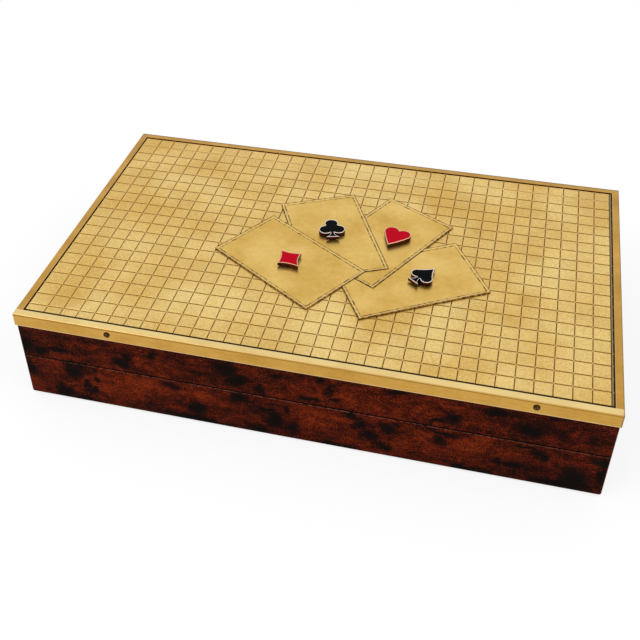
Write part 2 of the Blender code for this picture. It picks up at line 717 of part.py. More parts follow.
def leaf_section(up):
    """Leaf and rolled knuckle in one line, as (Y, height) points."""
    surface = SEAM_HEIGHT - up * FIT_GAP / 2
    back = surface - up * LEAF_THICK
    low = 180 + math.degrees(math.asin((FIT_GAP / 2 + LEAF_THICK) / KNUCKLE_RADIUS))
    high = 540 + math.degrees(math.asin(FIT_GAP / 2 / KNUCKLE_RADIUS))
    roll = arc((AXIS_Y, 0.0), KNUCKLE_RADIUS, low, high, KNUCKLE_STEPS)
    return [(LEAF_END_Y, surface), (LEAF_END_Y, back),
            *((y, SEAM_HEIGHT + up * height) for y, height in roll)]


def hinge_leaf(name, middle, up, leaf_holes, group, cutters):
    """A leaf with its knuckles: up is 1 for the base's leaf, -1 for the lid's."""
    half = HINGE_LENGTH / 2
    bm = bmesh.new()
    near = [bm.verts.new((middle - half, y, height)) for y, height in leaf_section(up)]
    grown = bmesh.ops.extrude_face_region(bm, geom=[bm.faces.new(near)])["geom"]
    for item in grown:
        if isinstance(item, bmesh.types.BMVert):
            item.co.x = middle + half
    leaf = add_object(name, bm, BRASS, group)

    slots, bore = bmesh.new(), bmesh.new()
    clear = KNUCKLE_RADIUS + OVERRUN
    for index, (left, right) in enumerate(knuckle_spans(middle)):
        if (index % 2 == 0) != (up > 0):
            ends = [left - FIT_GAP, right + FIT_GAP]
            if index == 0:
                ends[0] -= OVERRUN
            if index == KNUCKLE_COUNT - 1:
                ends[1] += OVERRUN
            add_box(slots, (ends[0], LEAF_ROOT_Y, SEAM_HEIGHT - clear),
                    (ends[1], AXIS_Y + clear, SEAM_HEIGHT + clear))
    reach = half + OVERRUN
    add_rod(bore, (middle - reach, AXIS_Y, SEAM_HEIGHT), (middle + reach, AXIS_Y, SEAM_HEIGHT),
            PIN_RADIUS + FIT_GAP, PIN_STEPS)
    cut(leaf, add_object(name + "_slots", slots, None, cutters),
        add_object(name + "_bore", bore, None, cutters), leaf_holes)


def build_hinges(group, lid_group, cutters, base_holes, lid_holes):
    for middle, side in zip(hinge_middles(), ("left", "right")):
        hinge_leaf("hinge_base_leaf_" + side, middle, 1, base_holes, group, cutters)
        hinge_leaf("hinge_lid_leaf_" + side, middle, -1, lid_holes, lid_group, cutters)
        bm = bmesh.new()
        add_rod(bm, (middle - HINGE_LENGTH / 2, AXIS_Y, SEAM_HEIGHT),
                (middle + HINGE_LENGTH / 2, AXIS_Y, SEAM_HEIGHT), PIN_RADIUS, PIN_STEPS)
        add_object("hinge_pin_" + side, bm, BRASS, group, smooth=True)
    profile = hinge_screw_profile(0.0, 0.0)
    build_screws("base_leaf_screw", profile, hinge_screw_places(1), BRASS, group)
    build_screws("lid_leaf_screw", profile, hinge_screw_places(-1), BRASS, lid_group)


def hang_on_hinge(lid_group):
    """Parent every piece of the lid to an empty on the hinge axis."""
    axis = bpy.data.objects.new("lid_hinge_axis", None)
    axis.empty_display_type = "ARROWS"
    axis.empty_display_size = WALL_THICK
    axis.location = (0.0, AXIS_Y, SEAM_HEIGHT)
    lid_group.objects.link(axis)
    for obj in lid_group.objects:
        if obj is not axis:
            obj.parent = axis
            obj.matrix_parent_inverse = Matrix.Translation(-axis.location)


def main():
    clear_scene()
    group = new_collection("games_box")
    lid_group = bpy.data.collections.new("games_box_lid")
    group.children.link(lid_group)
    cutters = new_collection("games_box_cutters")
    bevel = back_bevel(cutters)
    pockets = hinge_pockets(cutters)
    base_holes = build_base(group, cutters, bevel, pockets)
    lid_holes = build_lid(lid_group, cutters, bevel, pockets)
    build_hinges(group, lid_group, cutters, base_holes, lid_holes)
    hang_on_hinge(lid_group)


main()
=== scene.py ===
# %% [markdown]
# A games box, dressed for its picture
#
# The box is a low wooden case with a hinged lid. A ruled brass plate covers the lid, a brass
# frame holds the plate down, and four flat brass cards with raised, enamelled suits lie on it.
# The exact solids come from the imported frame. The walls, boards, liners and dividers keep theirs
# and get a finish. The others are replaced by finer pieces in the same places: the frame's
# strips, the ruled plate, the cards, the suits and their enamel, the screws, the hinges and the
# cloths.

# %% Load the frame
import math

import bmesh
import bpy
from mathutils import Matrix, Quaternion, Vector, noise


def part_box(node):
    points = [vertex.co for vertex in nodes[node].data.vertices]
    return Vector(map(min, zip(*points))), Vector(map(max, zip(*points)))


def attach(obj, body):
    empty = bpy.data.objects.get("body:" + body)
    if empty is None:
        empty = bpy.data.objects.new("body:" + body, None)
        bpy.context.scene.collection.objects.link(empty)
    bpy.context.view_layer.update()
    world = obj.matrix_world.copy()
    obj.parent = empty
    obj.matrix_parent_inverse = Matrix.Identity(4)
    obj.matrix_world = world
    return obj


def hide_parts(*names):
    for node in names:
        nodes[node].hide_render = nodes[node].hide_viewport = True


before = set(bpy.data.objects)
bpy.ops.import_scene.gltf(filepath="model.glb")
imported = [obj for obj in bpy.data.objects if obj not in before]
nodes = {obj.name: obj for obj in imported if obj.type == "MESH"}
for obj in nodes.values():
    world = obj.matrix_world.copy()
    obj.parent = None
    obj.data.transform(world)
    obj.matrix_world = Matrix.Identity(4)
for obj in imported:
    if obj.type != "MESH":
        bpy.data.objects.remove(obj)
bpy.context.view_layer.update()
scene = bpy.context.scene
scene.view_settings.view_transform = "Standard"

MM = 0.001
print("nodes loaded:", len(nodes))

# %% [markdown]
# The camera
#
# A photograph fixes four things: where the camera stood, which way it looked, its lens, and how
# the picture was cropped. They were worked out from the box's corners. The crop becomes a lens
# shift, kept so small that the box stays in the picture from every side, and the slight lean of
# the picture a roll about the line of sight.

# %% Camera
CAMERA_PLACE = Vector((104.5, -528.7, 478.6)) * MM
CAMERA_AZIMUTH = 15.49      # degrees round from the front, to the right
CAMERA_ELEVATION = 37.51
CAMERA_ROLL = -1.37
CAMERA_LENS = 54.30         # millimetres, on a sensor 36 mm wide
CAMERA_SHIFT = (0.0625, -0.1)


def place_camera():
    around, above = math.radians(CAMERA_AZIMUTH), math.radians(CAMERA_ELEVATION)
    back = Vector((math.sin(around) * math.cos(above), -math.cos(around) * math.cos(above),
                   math.sin(above)))
    camera = bpy.data.objects.new("camera", bpy.data.cameras.new("camera"))
    scene.collection.objects.link(camera)
    camera.location = CAMERA_PLACE
    camera.rotation_mode = "QUATERNION"
    camera.rotation_quaternion = ((-back).to_track_quat("-Z", "Y")
                                  @ Quaternion((0.0, 0.0, 1.0), math.radians(CAMERA_ROLL)))
    camera.data.lens = CAMERA_LENS
    camera.data.shift_x, camera.data.shift_y = CAMERA_SHIFT
    scene.camera = camera
    return camera


print("camera at", [round(x, 3) for x in place_camera().location])

# %% [markdown]
# Node trees written as sums
#
# A material is a small calculation made at every point of a surface, and so is a recipe of
# Geometry Nodes. Wiring them by hand hides the idea, so a short class wraps a socket: a sum on
# it adds the Math node that works it out. Any other node comes from one method, which takes the
# node's settings and inputs.

# %% A class for node trees


class Wire:
    """A socket of a node tree. Sums on it add Math nodes, or Vector Math nodes for vectors."""

    def __init__(self, tree, socket=None):
        self.tree = tree
        self.socket = socket

    def node(self, kind, settings=None, inputs=None, output=0):
        made = self.tree.nodes.new(kind)
        for name, value in (settings or {}).items():
            if name == "stops":
                self.set_stops(made.color_ramp, value)
            else:
                setattr(made, name, value)
        for key, value in (inputs or {}).items():
            self.feed(made.inputs[key], value)
        return Wire(self.tree, made.outputs[output])

    def set_stops(self, ramp, stops):
        while len(ramp.elements) < len(stops):
            ramp.elements.new(1.0)
        for element, (place, colour) in zip(ramp.elements, stops):
            element.position = place
            element.color = (*colour, 1.0)

    def feed(self, socket, value):
        if isinstance(value, list):
            for item in value:
                self.feed(socket, item)
        elif isinstance(value, Wire):
            self.tree.links.new(value.socket, socket)
        elif socket.type == "VECTOR" and isinstance(value, (int, float)):
            socket.default_value = (value, value, value)
        elif socket.type == "RGBA":
            socket.default_value = (*value, 1.0)
        else:
            socket.default_value = value

    def work(self, operation, *values):
        """One Math node; it is a Vector Math node where a value is a vector."""
        vector = any(isinstance(value, tuple) or (isinstance(value, Wire)
                     and value.socket.type == "VECTOR") for value in values)
        kind = "ShaderNodeVectorMath" if vector else "ShaderNodeMath"
        return self.node(kind, {"operation": operation}, dict(enumerate(values)))

    def __add__(self, other):
        return self.work("ADD", self, other)

    def __radd__(self, other):
        return self.work("ADD", other, self)

    def __sub__(self, other):
        return self.work("SUBTRACT", self, other)

    def __rsub__(self, other):
        return self.work("SUBTRACT", other, self)

    def __mul__(self, other):
        return self.work("MULTIPLY", self, other)

    def __rmul__(self, other):
        return self.work("MULTIPLY", other, self)

    def __truediv__(self, other):
        return self.work("DIVIDE", self, other)

    def __rtruediv__(self, other):
        return self.work("DIVIDE", other, self)

    def __abs__(self):
        return self.work("ABSOLUTE", self)

    def __lt__(self, other):
        return self.work("LESS_THAN", self, other)

    def __gt__(self, other):
        return self.work("GREATER_THAN", self, other)

    def lesser(self, other):
        return self.work("MINIMUM", self, other)

    def greater(self, other):
        return self.work("MAXIMUM", self, other)

    def length(self):
        return self.node("ShaderNodeVectorMath", {"operation": "LENGTH"}, {0: self}, output=1)

    def part(self, axis):
        return self.node("ShaderNodeSeparateXYZ", None, {0: self}, output="XYZ".index(axis))

    def vector(self, x, y, z):
        return self.node("ShaderNodeCombineXYZ", None, {0: x, 1: y, 2: z})

    def step(self, low, high):
        """0 below low, 1 above high, and a smooth step between; low may be the greater."""
        return self.node("ShaderNodeMapRange", {"interpolation_type": "SMOOTHSTEP"},
                         {"Value": self, "From Min": low, "From Max": high})

    def noise(self, size, detail=3.0, rough=0.5, warp=0.0):
        """Noise whose blotches are about that many millimetres across."""
        return self.node("ShaderNodeTexNoise", None,
                         {"Vector": self, "Scale": 1.0 / size, "Detail": detail,
                          "Roughness": rough, "Distortion": warp})

    def blend(self, low, high):
        """This wire mixes two colours: low at 0, high at 1."""
        return self.node("ShaderNodeMix", {"data_type": "RGBA"}, {0: self, 6: low, 7: high},
                         output=2)

    def shade(self, amount):
        """This colour times a number, which may be a wire."""
        return self.node("ShaderNodeVectorMath", {"operation": "SCALE"}, {0: self, "Scale": amount})

    def bump(self, distance, strength=1.0):
        """This wire as a height; the distance is what a height of 1 stands up, in millimetres."""
        return self.node("ShaderNodeBump", None,
                         {"Height": self, "Distance": distance * MM, "Strength": strength})


def new_finish(name, constants):
    """A Principled material. What is the same all over goes on the shader's own sockets."""
    material = bpy.data.materials.new(name)
    material.use_nodes = True
    shader = material.node_tree.nodes["Principled BSDF"]
    for socket, value in constants.items():
        shader.inputs[socket].default_value = value
    return material


def wire_up(material, **wires):
    """Feed the shader: base_color=..., roughness=..., normal=... and so on."""
    shader = material.node_tree.nodes["Principled BSDF"]
    for name, wire in wires.items():
        material.node_tree.links.new(wire.socket, shader.inputs[name.replace("_", " ").title()])
    return material


def here(material):
    """The object's own coordinates, in millimetres, which are the box's own frame."""
    start = Wire(material.node_tree)
    return start.node("ShaderNodeTexCoord", output="Object") * ((1 / MM,) * 3)


print("wires ready")

# %% [markdown]
# The studio
#
# The box lies on a plain pale floor under soft light from all round. The floor and the world are
# plain white to the camera and in reflections, so brass has something bright to mirror, while
# the light that falls on the box comes from the lamps and a dimmer sky.

# %% Floor, world and lamps
FLOOR_REACH = 6.0
FLOOR_COLOUR = (0.93, 0.93, 0.93)
FLOOR_WHITE_SHARE = 0.80
SKY_STRENGTH = 0.80
LAMPS = {"key": ((-1.0, -0.9, 1.5), 1.2, 13.0), "side": ((1.3, -0.2, 1.4), 1.2, 8.0)}


def seen_directly(tree):
    """1 for rays from the camera, in a mirror or through glass, and 0 for light that spreads."""
    path = Wire(tree)
    rays = [path.node("ShaderNodeLightPath", output=name)
            for name in ("Is Camera Ray", "Is Glossy Ray", "Is Transmission Ray")]
    return rays[0].greater(rays[1]).greater(rays[2])


def build_floor():
    bm = bmesh.new()
    bmesh.ops.create_grid(bm, x_segments=1, y_segments=1, size=FLOOR_REACH)
    mesh = bpy.data.meshes.new("floor")
    bm.to_mesh(mesh)
    bm.free()
    floor = bpy.data.objects.new("floor", mesh)
    scene.collection.objects.link(floor)
    material = new_finish("floor_paint", {"Base Color": (*FLOOR_COLOUR, 1.0), "Roughness": 0.9,
                                          "Specular IOR Level": 0.0})
    tree = material.node_tree
    white = Wire(tree).node("ShaderNodeEmission")
    share = seen_directly(tree) * FLOOR_WHITE_SHARE
    mixed = share.node("ShaderNodeMixShader", None,
                       {0: share, 1: Wire(tree, tree.nodes["Principled BSDF"].outputs[0]),
                        2: white})
    tree.links.new(mixed.socket, tree.nodes["Material Output"].inputs["Surface"])
    mesh.materials.append(material)


def build_world():
    world = bpy.data.worlds.new("studio")
    world.use_nodes = True
    scene.world = world
    tree = world.node_tree
    backdrop = tree.nodes["Background"]
    strength = seen_directly(tree) * (1.0 - SKY_STRENGTH) + SKY_STRENGTH
    tree.links.new(strength.socket, backdrop.inputs["Strength"])
    backdrop.inputs["Color"].default_value = (1.0, 1.0, 1.0, 1.0)


def build_lamps():
    for name, (place, size, power) in LAMPS.items():
        lamp = bpy.data.objects.new(name + "_lamp", bpy.data.lights.new(name + "_lamp", "AREA"))
        lamp.data.size = size
        lamp.data.energy = power
        lamp.location = place
        lamp.rotation_euler = (-Vector(place)).to_track_quat("-Z", "Y").to_euler()
        scene.collection.objects.link(lamp)


build_floor()
build_world()
build_lamps()
print("lamps:", sorted(LAMPS))

# %% [markdown]
# The sizes that the finishes follow
#
# A pattern has to know where the box's edges are: wear sits on an arris, dirt in a groove. These
# heights and reaches are read from the solids, so a change of the box carries through.

# %% Sizes read from the frame


def box_mm(name):
    low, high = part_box(name)
    return low / MM, high / MM


PLATE_LOW, PLATE_HIGH = box_mm("lid_plate")
FRAME_LOW, FRAME_HIGH = box_mm("lid_frame_front")
CARD_LOW, CARD_HIGH = box_mm("card_diamond")
SUIT_LOW, SUIT_HIGH = box_mm("suit_heart")
BRASS_REACH = Vector((box_mm("lid_frame_right")[1].x, -FRAME_LOW.y))
WOOD_REACH = Vector((box_mm("base_wall_right")[1].x, -box_mm("base_wall_front")[0].y))
SEAM = (box_mm("base_wall_front")[1].z + box_mm("lid_wall_front")[0].z) / 2
GROOVE_DEPTH = 0.35         # of the plate's ruled lines
SOFT_GLOSS = 0.014          # how little old lacquer and worn enamel mirror the white studio
print("plate top %.2f, seam %.2f, brass reach %s" % (PLATE_HIGH.z, SEAM, tuple(BRASS_REACH)))

# %% [markdown]
# Brass, old and hand polished
#
# Sheet brass that has been handled for decades is never one colour. It has soft cloudy patches,
# a fine mottle from polishing, and dark wax where a cloth can't reach. One function mixes those
# scales of noise, and each brass piece adds what is its own.

# %% Brass


def cloudy(place, pale, deep, cloud, mottle, contrast=1.0):
    """A colour between two brasses, clouded at a large scale and mottled at a small one."""
    clouds = place.noise(cloud, detail=3.0, rough=0.45)
    specks = place.noise(mottle, detail=5.0, rough=0.65)
    tone = (clouds - 0.5) * (1.6 * contrast) + (specks - 0.5) * (0.8 * contrast) + 0.5
    return tone.step(0.0, 1.0).blend(deep, pale)


def grain(place, size, along=(1.0, 1.0, 1.0)):
    """Fine polishing marks, drawn out along one axis where along is small there."""
    return (place * along).noise(size, detail=2.0)


def edge_depth(place, reach):
    """How far in from the sides of a box a point lies, in millimetres."""
    inset_x = reach.x - abs(place.part("X"))
    inset_y = reach.y - abs(place.part("Y"))
    return inset_x.lesser(inset_y)


PLATE_PALE, PLATE_DEEP = (0.82, 0.615, 0.245), (0.63, 0.385, 0.090)
LINE_BROWN = (0.205, 0.105, 0.020)
TARNISH_BROWN = (0.56, 0.32, 0.07)
RIGHT_BORDER = 1.5          # from the plate's right edge to the middle of its dark border line
GAP_SHADE_BROWN, BORDER_LINE_AND_SHADE_BLACK = (0.27, 0.20, 0.095), (0.022, 0.014, 0.006)
CELL_TINT = "cell_tint"
TARNISH_SPOTS = {           # patches that were polished less: place and radius
    "near the heart": (92.5, 42.7, 4.5),
    "back corner": (174.0, 98.0, 18.0),
    "right of the cards": (133.0, 21.0, 6.0),
    "front left": (-160.0, -94.0, 12.0),
    "right side": (129.5, -25.6, 6.5),
    "right front": (122.0, -50.0, 7.0),
}


def plate_finish():
    material = new_finish("plate_brass", {"Metallic": 1.0})
    place = here(material)
    base = cloudy(place, PLATE_PALE, PLATE_DEEP, 44.0, 2.2, 0.9)
    tint = place.node("ShaderNodeAttribute", {"attribute_name": CELL_TINT}, output="Fac")
    base = base.shade((tint - 0.5) * 0.07 + 1.0)
    base = base.shade((grain(place, 1.2) - 0.5) * 0.75 + 1.0)
    spots = None
    for x, y, radius in TARNISH_SPOTS.values():
        ragged = (place - (x, y, PLATE_HIGH.z)).length() + place.noise(9.0) * radius
        spot = ragged.step(radius * 1.9, radius * 0.9)
        spots = spot if spots is None else spots.greater(spot)
    base = (spots * 0.40).blend(base, TARNISH_BROWN)
    depth = (PLATE_HIGH.z - place.part("Z")) / GROOVE_DEPTH
    dark_lines = depth.step(0.08, 0.40) * (place.noise(5.0) * 0.4 + 0.78).lesser(1.0)
    colour = dark_lines.blend(base, LINE_BROWN)
    # Painted shade where the plate meets the frame: a band along its right edge and a band along
    # its front edge. An engraved border line runs beside the right band.
    right_edge = PLATE_HIGH.x - place.part("X")
    colour = right_edge.step(1.30, 1.15).blend(colour, GAP_SHADE_BROWN)
    border = (abs(right_edge - RIGHT_BORDER).step(0.36, 0.22)
              .greater((place.part("Y") - PLATE_LOW.y).step(1.75, 1.35)))
    colour = border.blend(colour, BORDER_LINE_AND_SHADE_BLACK)
    rough = place.noise(12.0, detail=4.0) * 0.16 + dark_lines * 0.2 + 0.27
    relief = place.noise(1.1, detail=3.0) + place.noise(16.0) * 4.0
    return wire_up(material, base_color=colour, roughness=rough, normal=relief.bump(0.012))


FRAME_PALE, FRAME_DEEP = (0.66, 0.385, 0.088), (0.50, 0.262, 0.042)
FRONT_TOP_HIGHLIGHT, EDGE_WEAR_AND_HIGHLIGHT = (0.85, 0.66, 0.29), (0.78, 0.54, 0.29)
FAR_EDGE_SHADE, FRAME_INNER_SHADE = (0.17, 0.115, 0.065), (0.05, 0.025, 0.008)


def frame_finish():
    """Drawn angle: fine streaks along its length, and edges made lighter, partly by handling and
    partly as a painted highlight.
    """
    material = new_finish("frame_brass", {"Metallic": 1.0})
    place = here(material)
    base = cloudy(place, FRAME_PALE, FRAME_DEEP, 30.0, 4.0, 0.8)
    streaks = grain(place, 1.0, (0.05, 0.05, 2.6))
    base = base.shade((streaks - 0.5) * 0.5 + 1.0)
    depth = edge_depth(place, BRASS_REACH)
    height = place.part("Z")
    top, foot = FRAME_HIGH.z, FRAME_LOW.z
    on_top = height.step(top - 0.06, top - 0.02)
    in_front = (place.part("Y") + BRASS_REACH.y).step(5.4, 4.9)
    # Painted shade darkens every top face a little, and a painted highlight makes the front strip's
    # top face paler.
    base = base.shade(1.0 - on_top * 0.10)
    front_top_highlight = on_top * in_front * (place.noise(16.0) * 0.5 + 0.55)
    base = front_top_highlight.blend(base, FRONT_TOP_HIGHLIGHT)
    # Painted shade along the outer edges of the right and back strips.
    far_edge_shade = ((BRASS_REACH.x - place.part("X")).step(0.85, 0.40)
               .greater((BRASS_REACH.y - place.part("Y")).step(1.9, 1.1)))
    base = (far_edge_shade * 0.75).blend(base, FAR_EDGE_SHADE)
    # Lighter along the top, foot and inner edges: partly wear from handling, partly a painted
    # highlight.
    top_edge = height.step(top - 0.75, top - 0.3) * depth.step(0.9, 0.35)
    foot_edge = height.step(foot + 0.75, foot + 0.35)
    inner_edge = depth.step(4.45, 4.8) * height.step(top - 0.1, top - 0.02)
    worn = ((top_edge * 0.30).greater(foot_edge).greater(inner_edge * 0.5)
            * (place.noise(7.0) * 0.9 + 0.45).lesser(1.0) * (1.0 - far_edge_shade))
    colour = (worn * 0.75).blend(base, EDGE_WEAR_AND_HIGHLIGHT)
    # Painted shade: a thin, broken dark line just under the outer arris.
    under_arris_shade = (height.step(top - 0.70, top - 0.85) * height.step(top - 1.70, top - 1.35)
                  * depth.step(0.3, 0.2))
    colour = colour.shade(1.0 - under_arris_shade * (place.noise(30.0) * 0.9 - 0.05))
    # Painted shade on the frame's inner face, above the plate.
    inner_face_shade = height.step(top - 0.25, top - 0.5) * depth.step(4.8, 4.95)
    colour = inner_face_shade.blend(colour, FRAME_INNER_SHADE)
    rough = place.noise(10.0) * 0.14 + 0.26
    return wire_up(material, base_color=colour, roughness=rough, normal=streaks.bump(0.015))


def plain_brass(name, pale, deep):
    """For the hinges and their screws: turned or milled, and seldom polished."""
    material = new_finish(name, {"Metallic": 1.0})
    place = here(material)
    colour = cloudy(place, pale, deep, 9.0, 1.4)
    rough = place.noise(3.0) * 0.2 + 0.24
    return wire_up(material, base_color=colour, roughness=rough,
                   normal=grain(place, 0.6, (0.2, 1.0, 1.0)).bump(0.01))


plate_brass = plate_finish()
frame_brass = frame_finish()
hinge_brass = plain_brass("hinge_brass", (0.70, 0.48, 0.17), (0.45, 0.27, 0.08))
print("brasses:", plate_brass.name, frame_brass.name, hinge_brass.name)

# %% [markdown]
# Burl veneer
#
# The walls are faced with dark burl, a slice of a knotty growth. Its figure has three parts: a
# red-brown ground in wavy streaks, near-black knots, and fine grain that bends round them. The
# knots on the front are set one by one from the photograph. On the other sides they come from a
# Voronoi pattern. Where the walls show their thickness, under the lid and on the rim, the thin
# veneer ends and plainer wood shows.

# %% Burl veneer
VENEER_THICK = 0.9
VENEER_STOPS = [(0.0, (0.005, 0.0018, 0.0012)), (0.28, (0.014, 0.0030, 0.0018)),
                (0.46, (0.037, 0.0046, 0.0018)), (0.62, (0.076, 0.0082, 0.0020)),
                (0.80, (0.128, 0.0142, 0.0024)), (1.0, (0.19, 0.026, 0.004))]
KNOT_BLACK = (0.0032, 0.0026, 0.0022)
PAINTED_SHADE_BLACK = (0.002, 0.0015, 0.0012)
WEAR_AND_HIGHLIGHT_WOOD = (0.27, 0.11, 0.075)
END_WOOD_DARK, END_WOOD_PALE = (0.075, 0.026, 0.012), (0.16, 0.062, 0.028)
GRAIN_STRETCH = (0.22, 0.22, 1.0)   # streaks run along the walls, not up them
SEAM_LINE = 0.60            # half width of the dark line where lid and base meet
FRONT_KNOTS = (             # on the front: from the left end, height, half width, half height
    (3, 47, 8, 9), (13, 42, 6, 5), (27, 45, 12, 2.5), (70, 44, 6.5, 6), (75, 50, 2.8, 3),
    (93, 54, 4, 4.5), (129, 61, 7, 3), (142, 55, 9, 6), (150, 47, 8, 5), (163, 42, 4, 4),
    (176, 56, 6, 3), (204, 60, 3.5, 4), (209, 53, 3, 5), (214, 45, 4, 2.2), (196, 43, 9, 1.8),
    (252, 60.5, 7, 2.4), (287, 44, 4.5, 4), (276, 42, 7, 2), (330, 47, 9, 5), (310, 58, 8, 3),
    (4, 25, 6, 6), (36, 28, 8.5, 7.5), (51, 31, 2, 2), (51, 23, 2.6, 2.4), (45, 19, 2.6, 2.6),
    (47, 13.5, 4.6, 2.6), (26, 8, 7, 6), (40, 5, 10, 2.5), (104, 31, 9, 3.5), (120, 16, 6.5, 7),
    (122, 4, 24, 4), (151, 30, 8, 4.6), (166, 25, 7, 2.2), (182, 27, 3, 4.2), (174, 16, 6, 9),
    (163, 5, 9, 5), (186, 12, 4, 5), (223, 33, 6, 4), (229, 26, 5.5, 5), (236, 18, 5, 5),
    (244, 10, 6, 3.5), (247, 26, 6, 6), (252, 32, 2.6, 2.4), (279, 25, 5, 4.6),
    (280, 32, 12, 2.4), (339, 28, 5.6, 4.6), (330, 31, 9, 2), (361, 13, 8, 9), (352, 5, 14, 4),
    (376, 31, 7, 4), (322, 14, 14, 2.4), (376, 20, 4, 8), (215, 4, 14, 3), (300, 4, 16, 2.5))
FRONT_CLOUDS = (            # broad soft patches: as above, and how much they lighten the wood
    (86, 27, 34, 9, 0.20), (60, 18, 22, 8, 0.18), (20, 30, 14, 8, 0.12), (126, 27, 14, 7, 0.16),
    (92, 46, 16, 5, 0.14), (203, 26, 20, 9, 0.20), (228, 48, 26, 8, 0.12),
    (298, 25, 38, 8, 0.20), (262, 16, 18, 6, 0.12), (40, 57, 42, 9, -0.14),
    (130, 50, 34, 12, -0.12), (345, 52, 40, 14, -0.24), (352, 16, 34, 12, -0.12),
    (95, 8, 60, 6, -0.10), (170, 18, 20, 16, -0.10), (330, 6, 60, 5, -0.16))


def rings_about(spot, oval):
    """How far a point lies from an oval's middle: 1 on its edge."""
    along, height, half_width, half_height = oval
    return ((spot - (along, height, 0.0)) * (1.0 / half_width, 1.0 / half_height, 0.0)).length()


def knots_by_hand(spot):
    """The darkest of the front's knots at a point (from the left end, height)."""
    darkest = None
    for oval in FRONT_KNOTS:
        knot = rings_about(spot, oval).step(1.75, 0.15)
        darkest = knot if darkest is None else darkest.greater(knot)
    return darkest


def clouds_by_hand(spot):
    """The sum of the front's broad patches at a point."""
    total = None
    for *oval, amount in FRONT_CLOUDS:
        cloud = rings_about(spot, oval).step(1.6, 0.1) * amount
        total = cloud if total is None else total + cloud
    return total


def knots_by_chance(place, spread, radius):
    """Knots in cells of a Voronoi pattern; about half of the cells have one."""
    cell = {"Vector": place, "Scale": 1.0 / spread, "Randomness": 0.9}
    far = place.node("ShaderNodeTexVoronoi", None, cell, output="Distance") * spread
    chance = place.node("ShaderNodeTexVoronoi", None, cell, output="Color").part("X")
    size = (chance - 0.35).greater(0.0) * (radius / 0.65)
    return (far - size).step(radius * 0.7, -radius * 0.7)


def shaken(place, size, reach):
    """The place moved about by noise, up to half the reach each way."""
    wander = place.node("ShaderNodeTexNoise", None,
                        {"Vector": place, "Scale": 1.0 / size, "Detail": 3.0}, output="Color")
    return (wander - (0.5, 0.5, 0.5)) * ((reach,) * 3)


def veneer_finish():
    material = new_finish("burl_veneer", {"Specular IOR Level": SOFT_GLOSS})
    place = here(material)
    x, y, z = (place.part(axis) for axis in "XYZ")
    bent = place + shaken(place, 30.0, 20.0) + shaken(place, 7.0, 3.0)
    ragged = (place + shaken(place, 17.0, 12.0) + shaken(place, 5.0, 7.0)
              + shaken(place, 1.6, 2.2))
    spot = place.vector(ragged.part("X") + WOOD_REACH.x, ragged.part("Z"), 0.0)
    by_chance = knots_by_chance(ragged, 34.0, 8.0).greater(knots_by_chance(ragged, 15.0, 2.2))
    on_front = (y < 0.2 - WOOD_REACH.y)
    knots = knots_by_hand(spot) * on_front + by_chance * (1.0 - on_front)
    chance_clouds = (place.noise(40.0, detail=2.0) - 0.5) * 0.8
    clouds = clouds_by_hand(spot) * on_front + chance_clouds * (1.0 - on_front)

    flow = bent * GRAIN_STRETCH
    streaks = flow.noise(5.0, detail=4.0, rough=0.5, warp=0.3)
    waves = flow.noise(0.9, detail=2.0, rough=0.5)
    curls = bent.noise(9.0, detail=3.0, rough=0.5, warp=0.8)
    dust = place.noise(0.9, detail=2.0)
    tone = ((streaks - 0.5) * 0.75 + (waves - 0.5) * 0.75 + (curls - 0.5) * 0.7
            + (dust - 0.5) * 1.6 + clouds - knots * 0.24 + 0.525)
    ground = tone.node("ShaderNodeValToRGB", {"stops": VENEER_STOPS}, {"Fac": tone})
    pores = (bent * (0.16, 0.16, 1.0)).noise(0.45, detail=2.0).step(0.58, 0.74) * 0.5
    ground = pores.blend(ground, KNOT_BLACK)
    core = (knots + (streaks - 0.5) * 0.5 + (waves - 0.5) * 0.6).step(0.16, 1.10) * 0.93
    ground = core.blend(ground, KNOT_BLACK)

    depth = edge_depth(place, WOOD_REACH)
    # Lighter along the base's edge at the seam and at the corners: partly wear, partly a painted
    # highlight.
    broken = place.noise(3.0, detail=4.0).step(0.40, 0.56)
    seam_edge = abs(z - (SEAM - SEAM_LINE - 0.25)).step(0.40, 0.12)
    corner = (WOOD_REACH.x - abs(x)).step(0.8, 0.3) * (WOOD_REACH.y - abs(y)).step(2.2, 1.4)
    worn = (seam_edge.greater(corner) * broken
            * (place.noise(45.0) * 1.6 - 0.1).greater(0.25).lesser(1.0))
    ground = (worn * 0.7).blend(ground, WEAR_AND_HIGHLIGHT_WOOD)
    # Painted shade: a dark line along the seam, darkening towards the bottom, and a dark band just
    # under the brass frame.
    painted_shade = (abs(z - SEAM).step(SEAM_LINE + 0.12, SEAM_LINE - 0.12)
            .greater(z.step(3.6, 1.3) * 0.7)
            .greater(z.step(FRAME_LOW.z - 1.6, FRAME_LOW.z - 0.5)))
    ground = (painted_shade * 0.95).blend(ground, PAINTED_SHADE_BLACK)

    solid = (place * (0.12, 0.12, 1.0)).noise(1.6, detail=5.0).step(0.3, 0.7)
    solid = solid.blend(END_WOOD_DARK, END_WOOD_PALE)
    colour = depth.step(VENEER_THICK - 0.05, VENEER_THICK + 0.05).blend(ground, solid)
    rough = place.noise(20.0) * 0.12 + core * 0.10 + 0.34
    relief = streaks * 0.6 + pores
    return wire_up(material, base_color=colour, roughness=rough, normal=relief.bump(0.03))


burl_veneer = veneer_finish()
print("knots set by hand:", len(FRONT_KNOTS))

# %% [markdown]
# The plainer woods and the felt
#
# Liners and dividers are cedar with a straight grain along each piece, and the boards are pale
# ply. The felt is a short wool nap: almost no gloss, a faint mottle, and fibres as a fine bump.

# %% Cedar, ply and felt


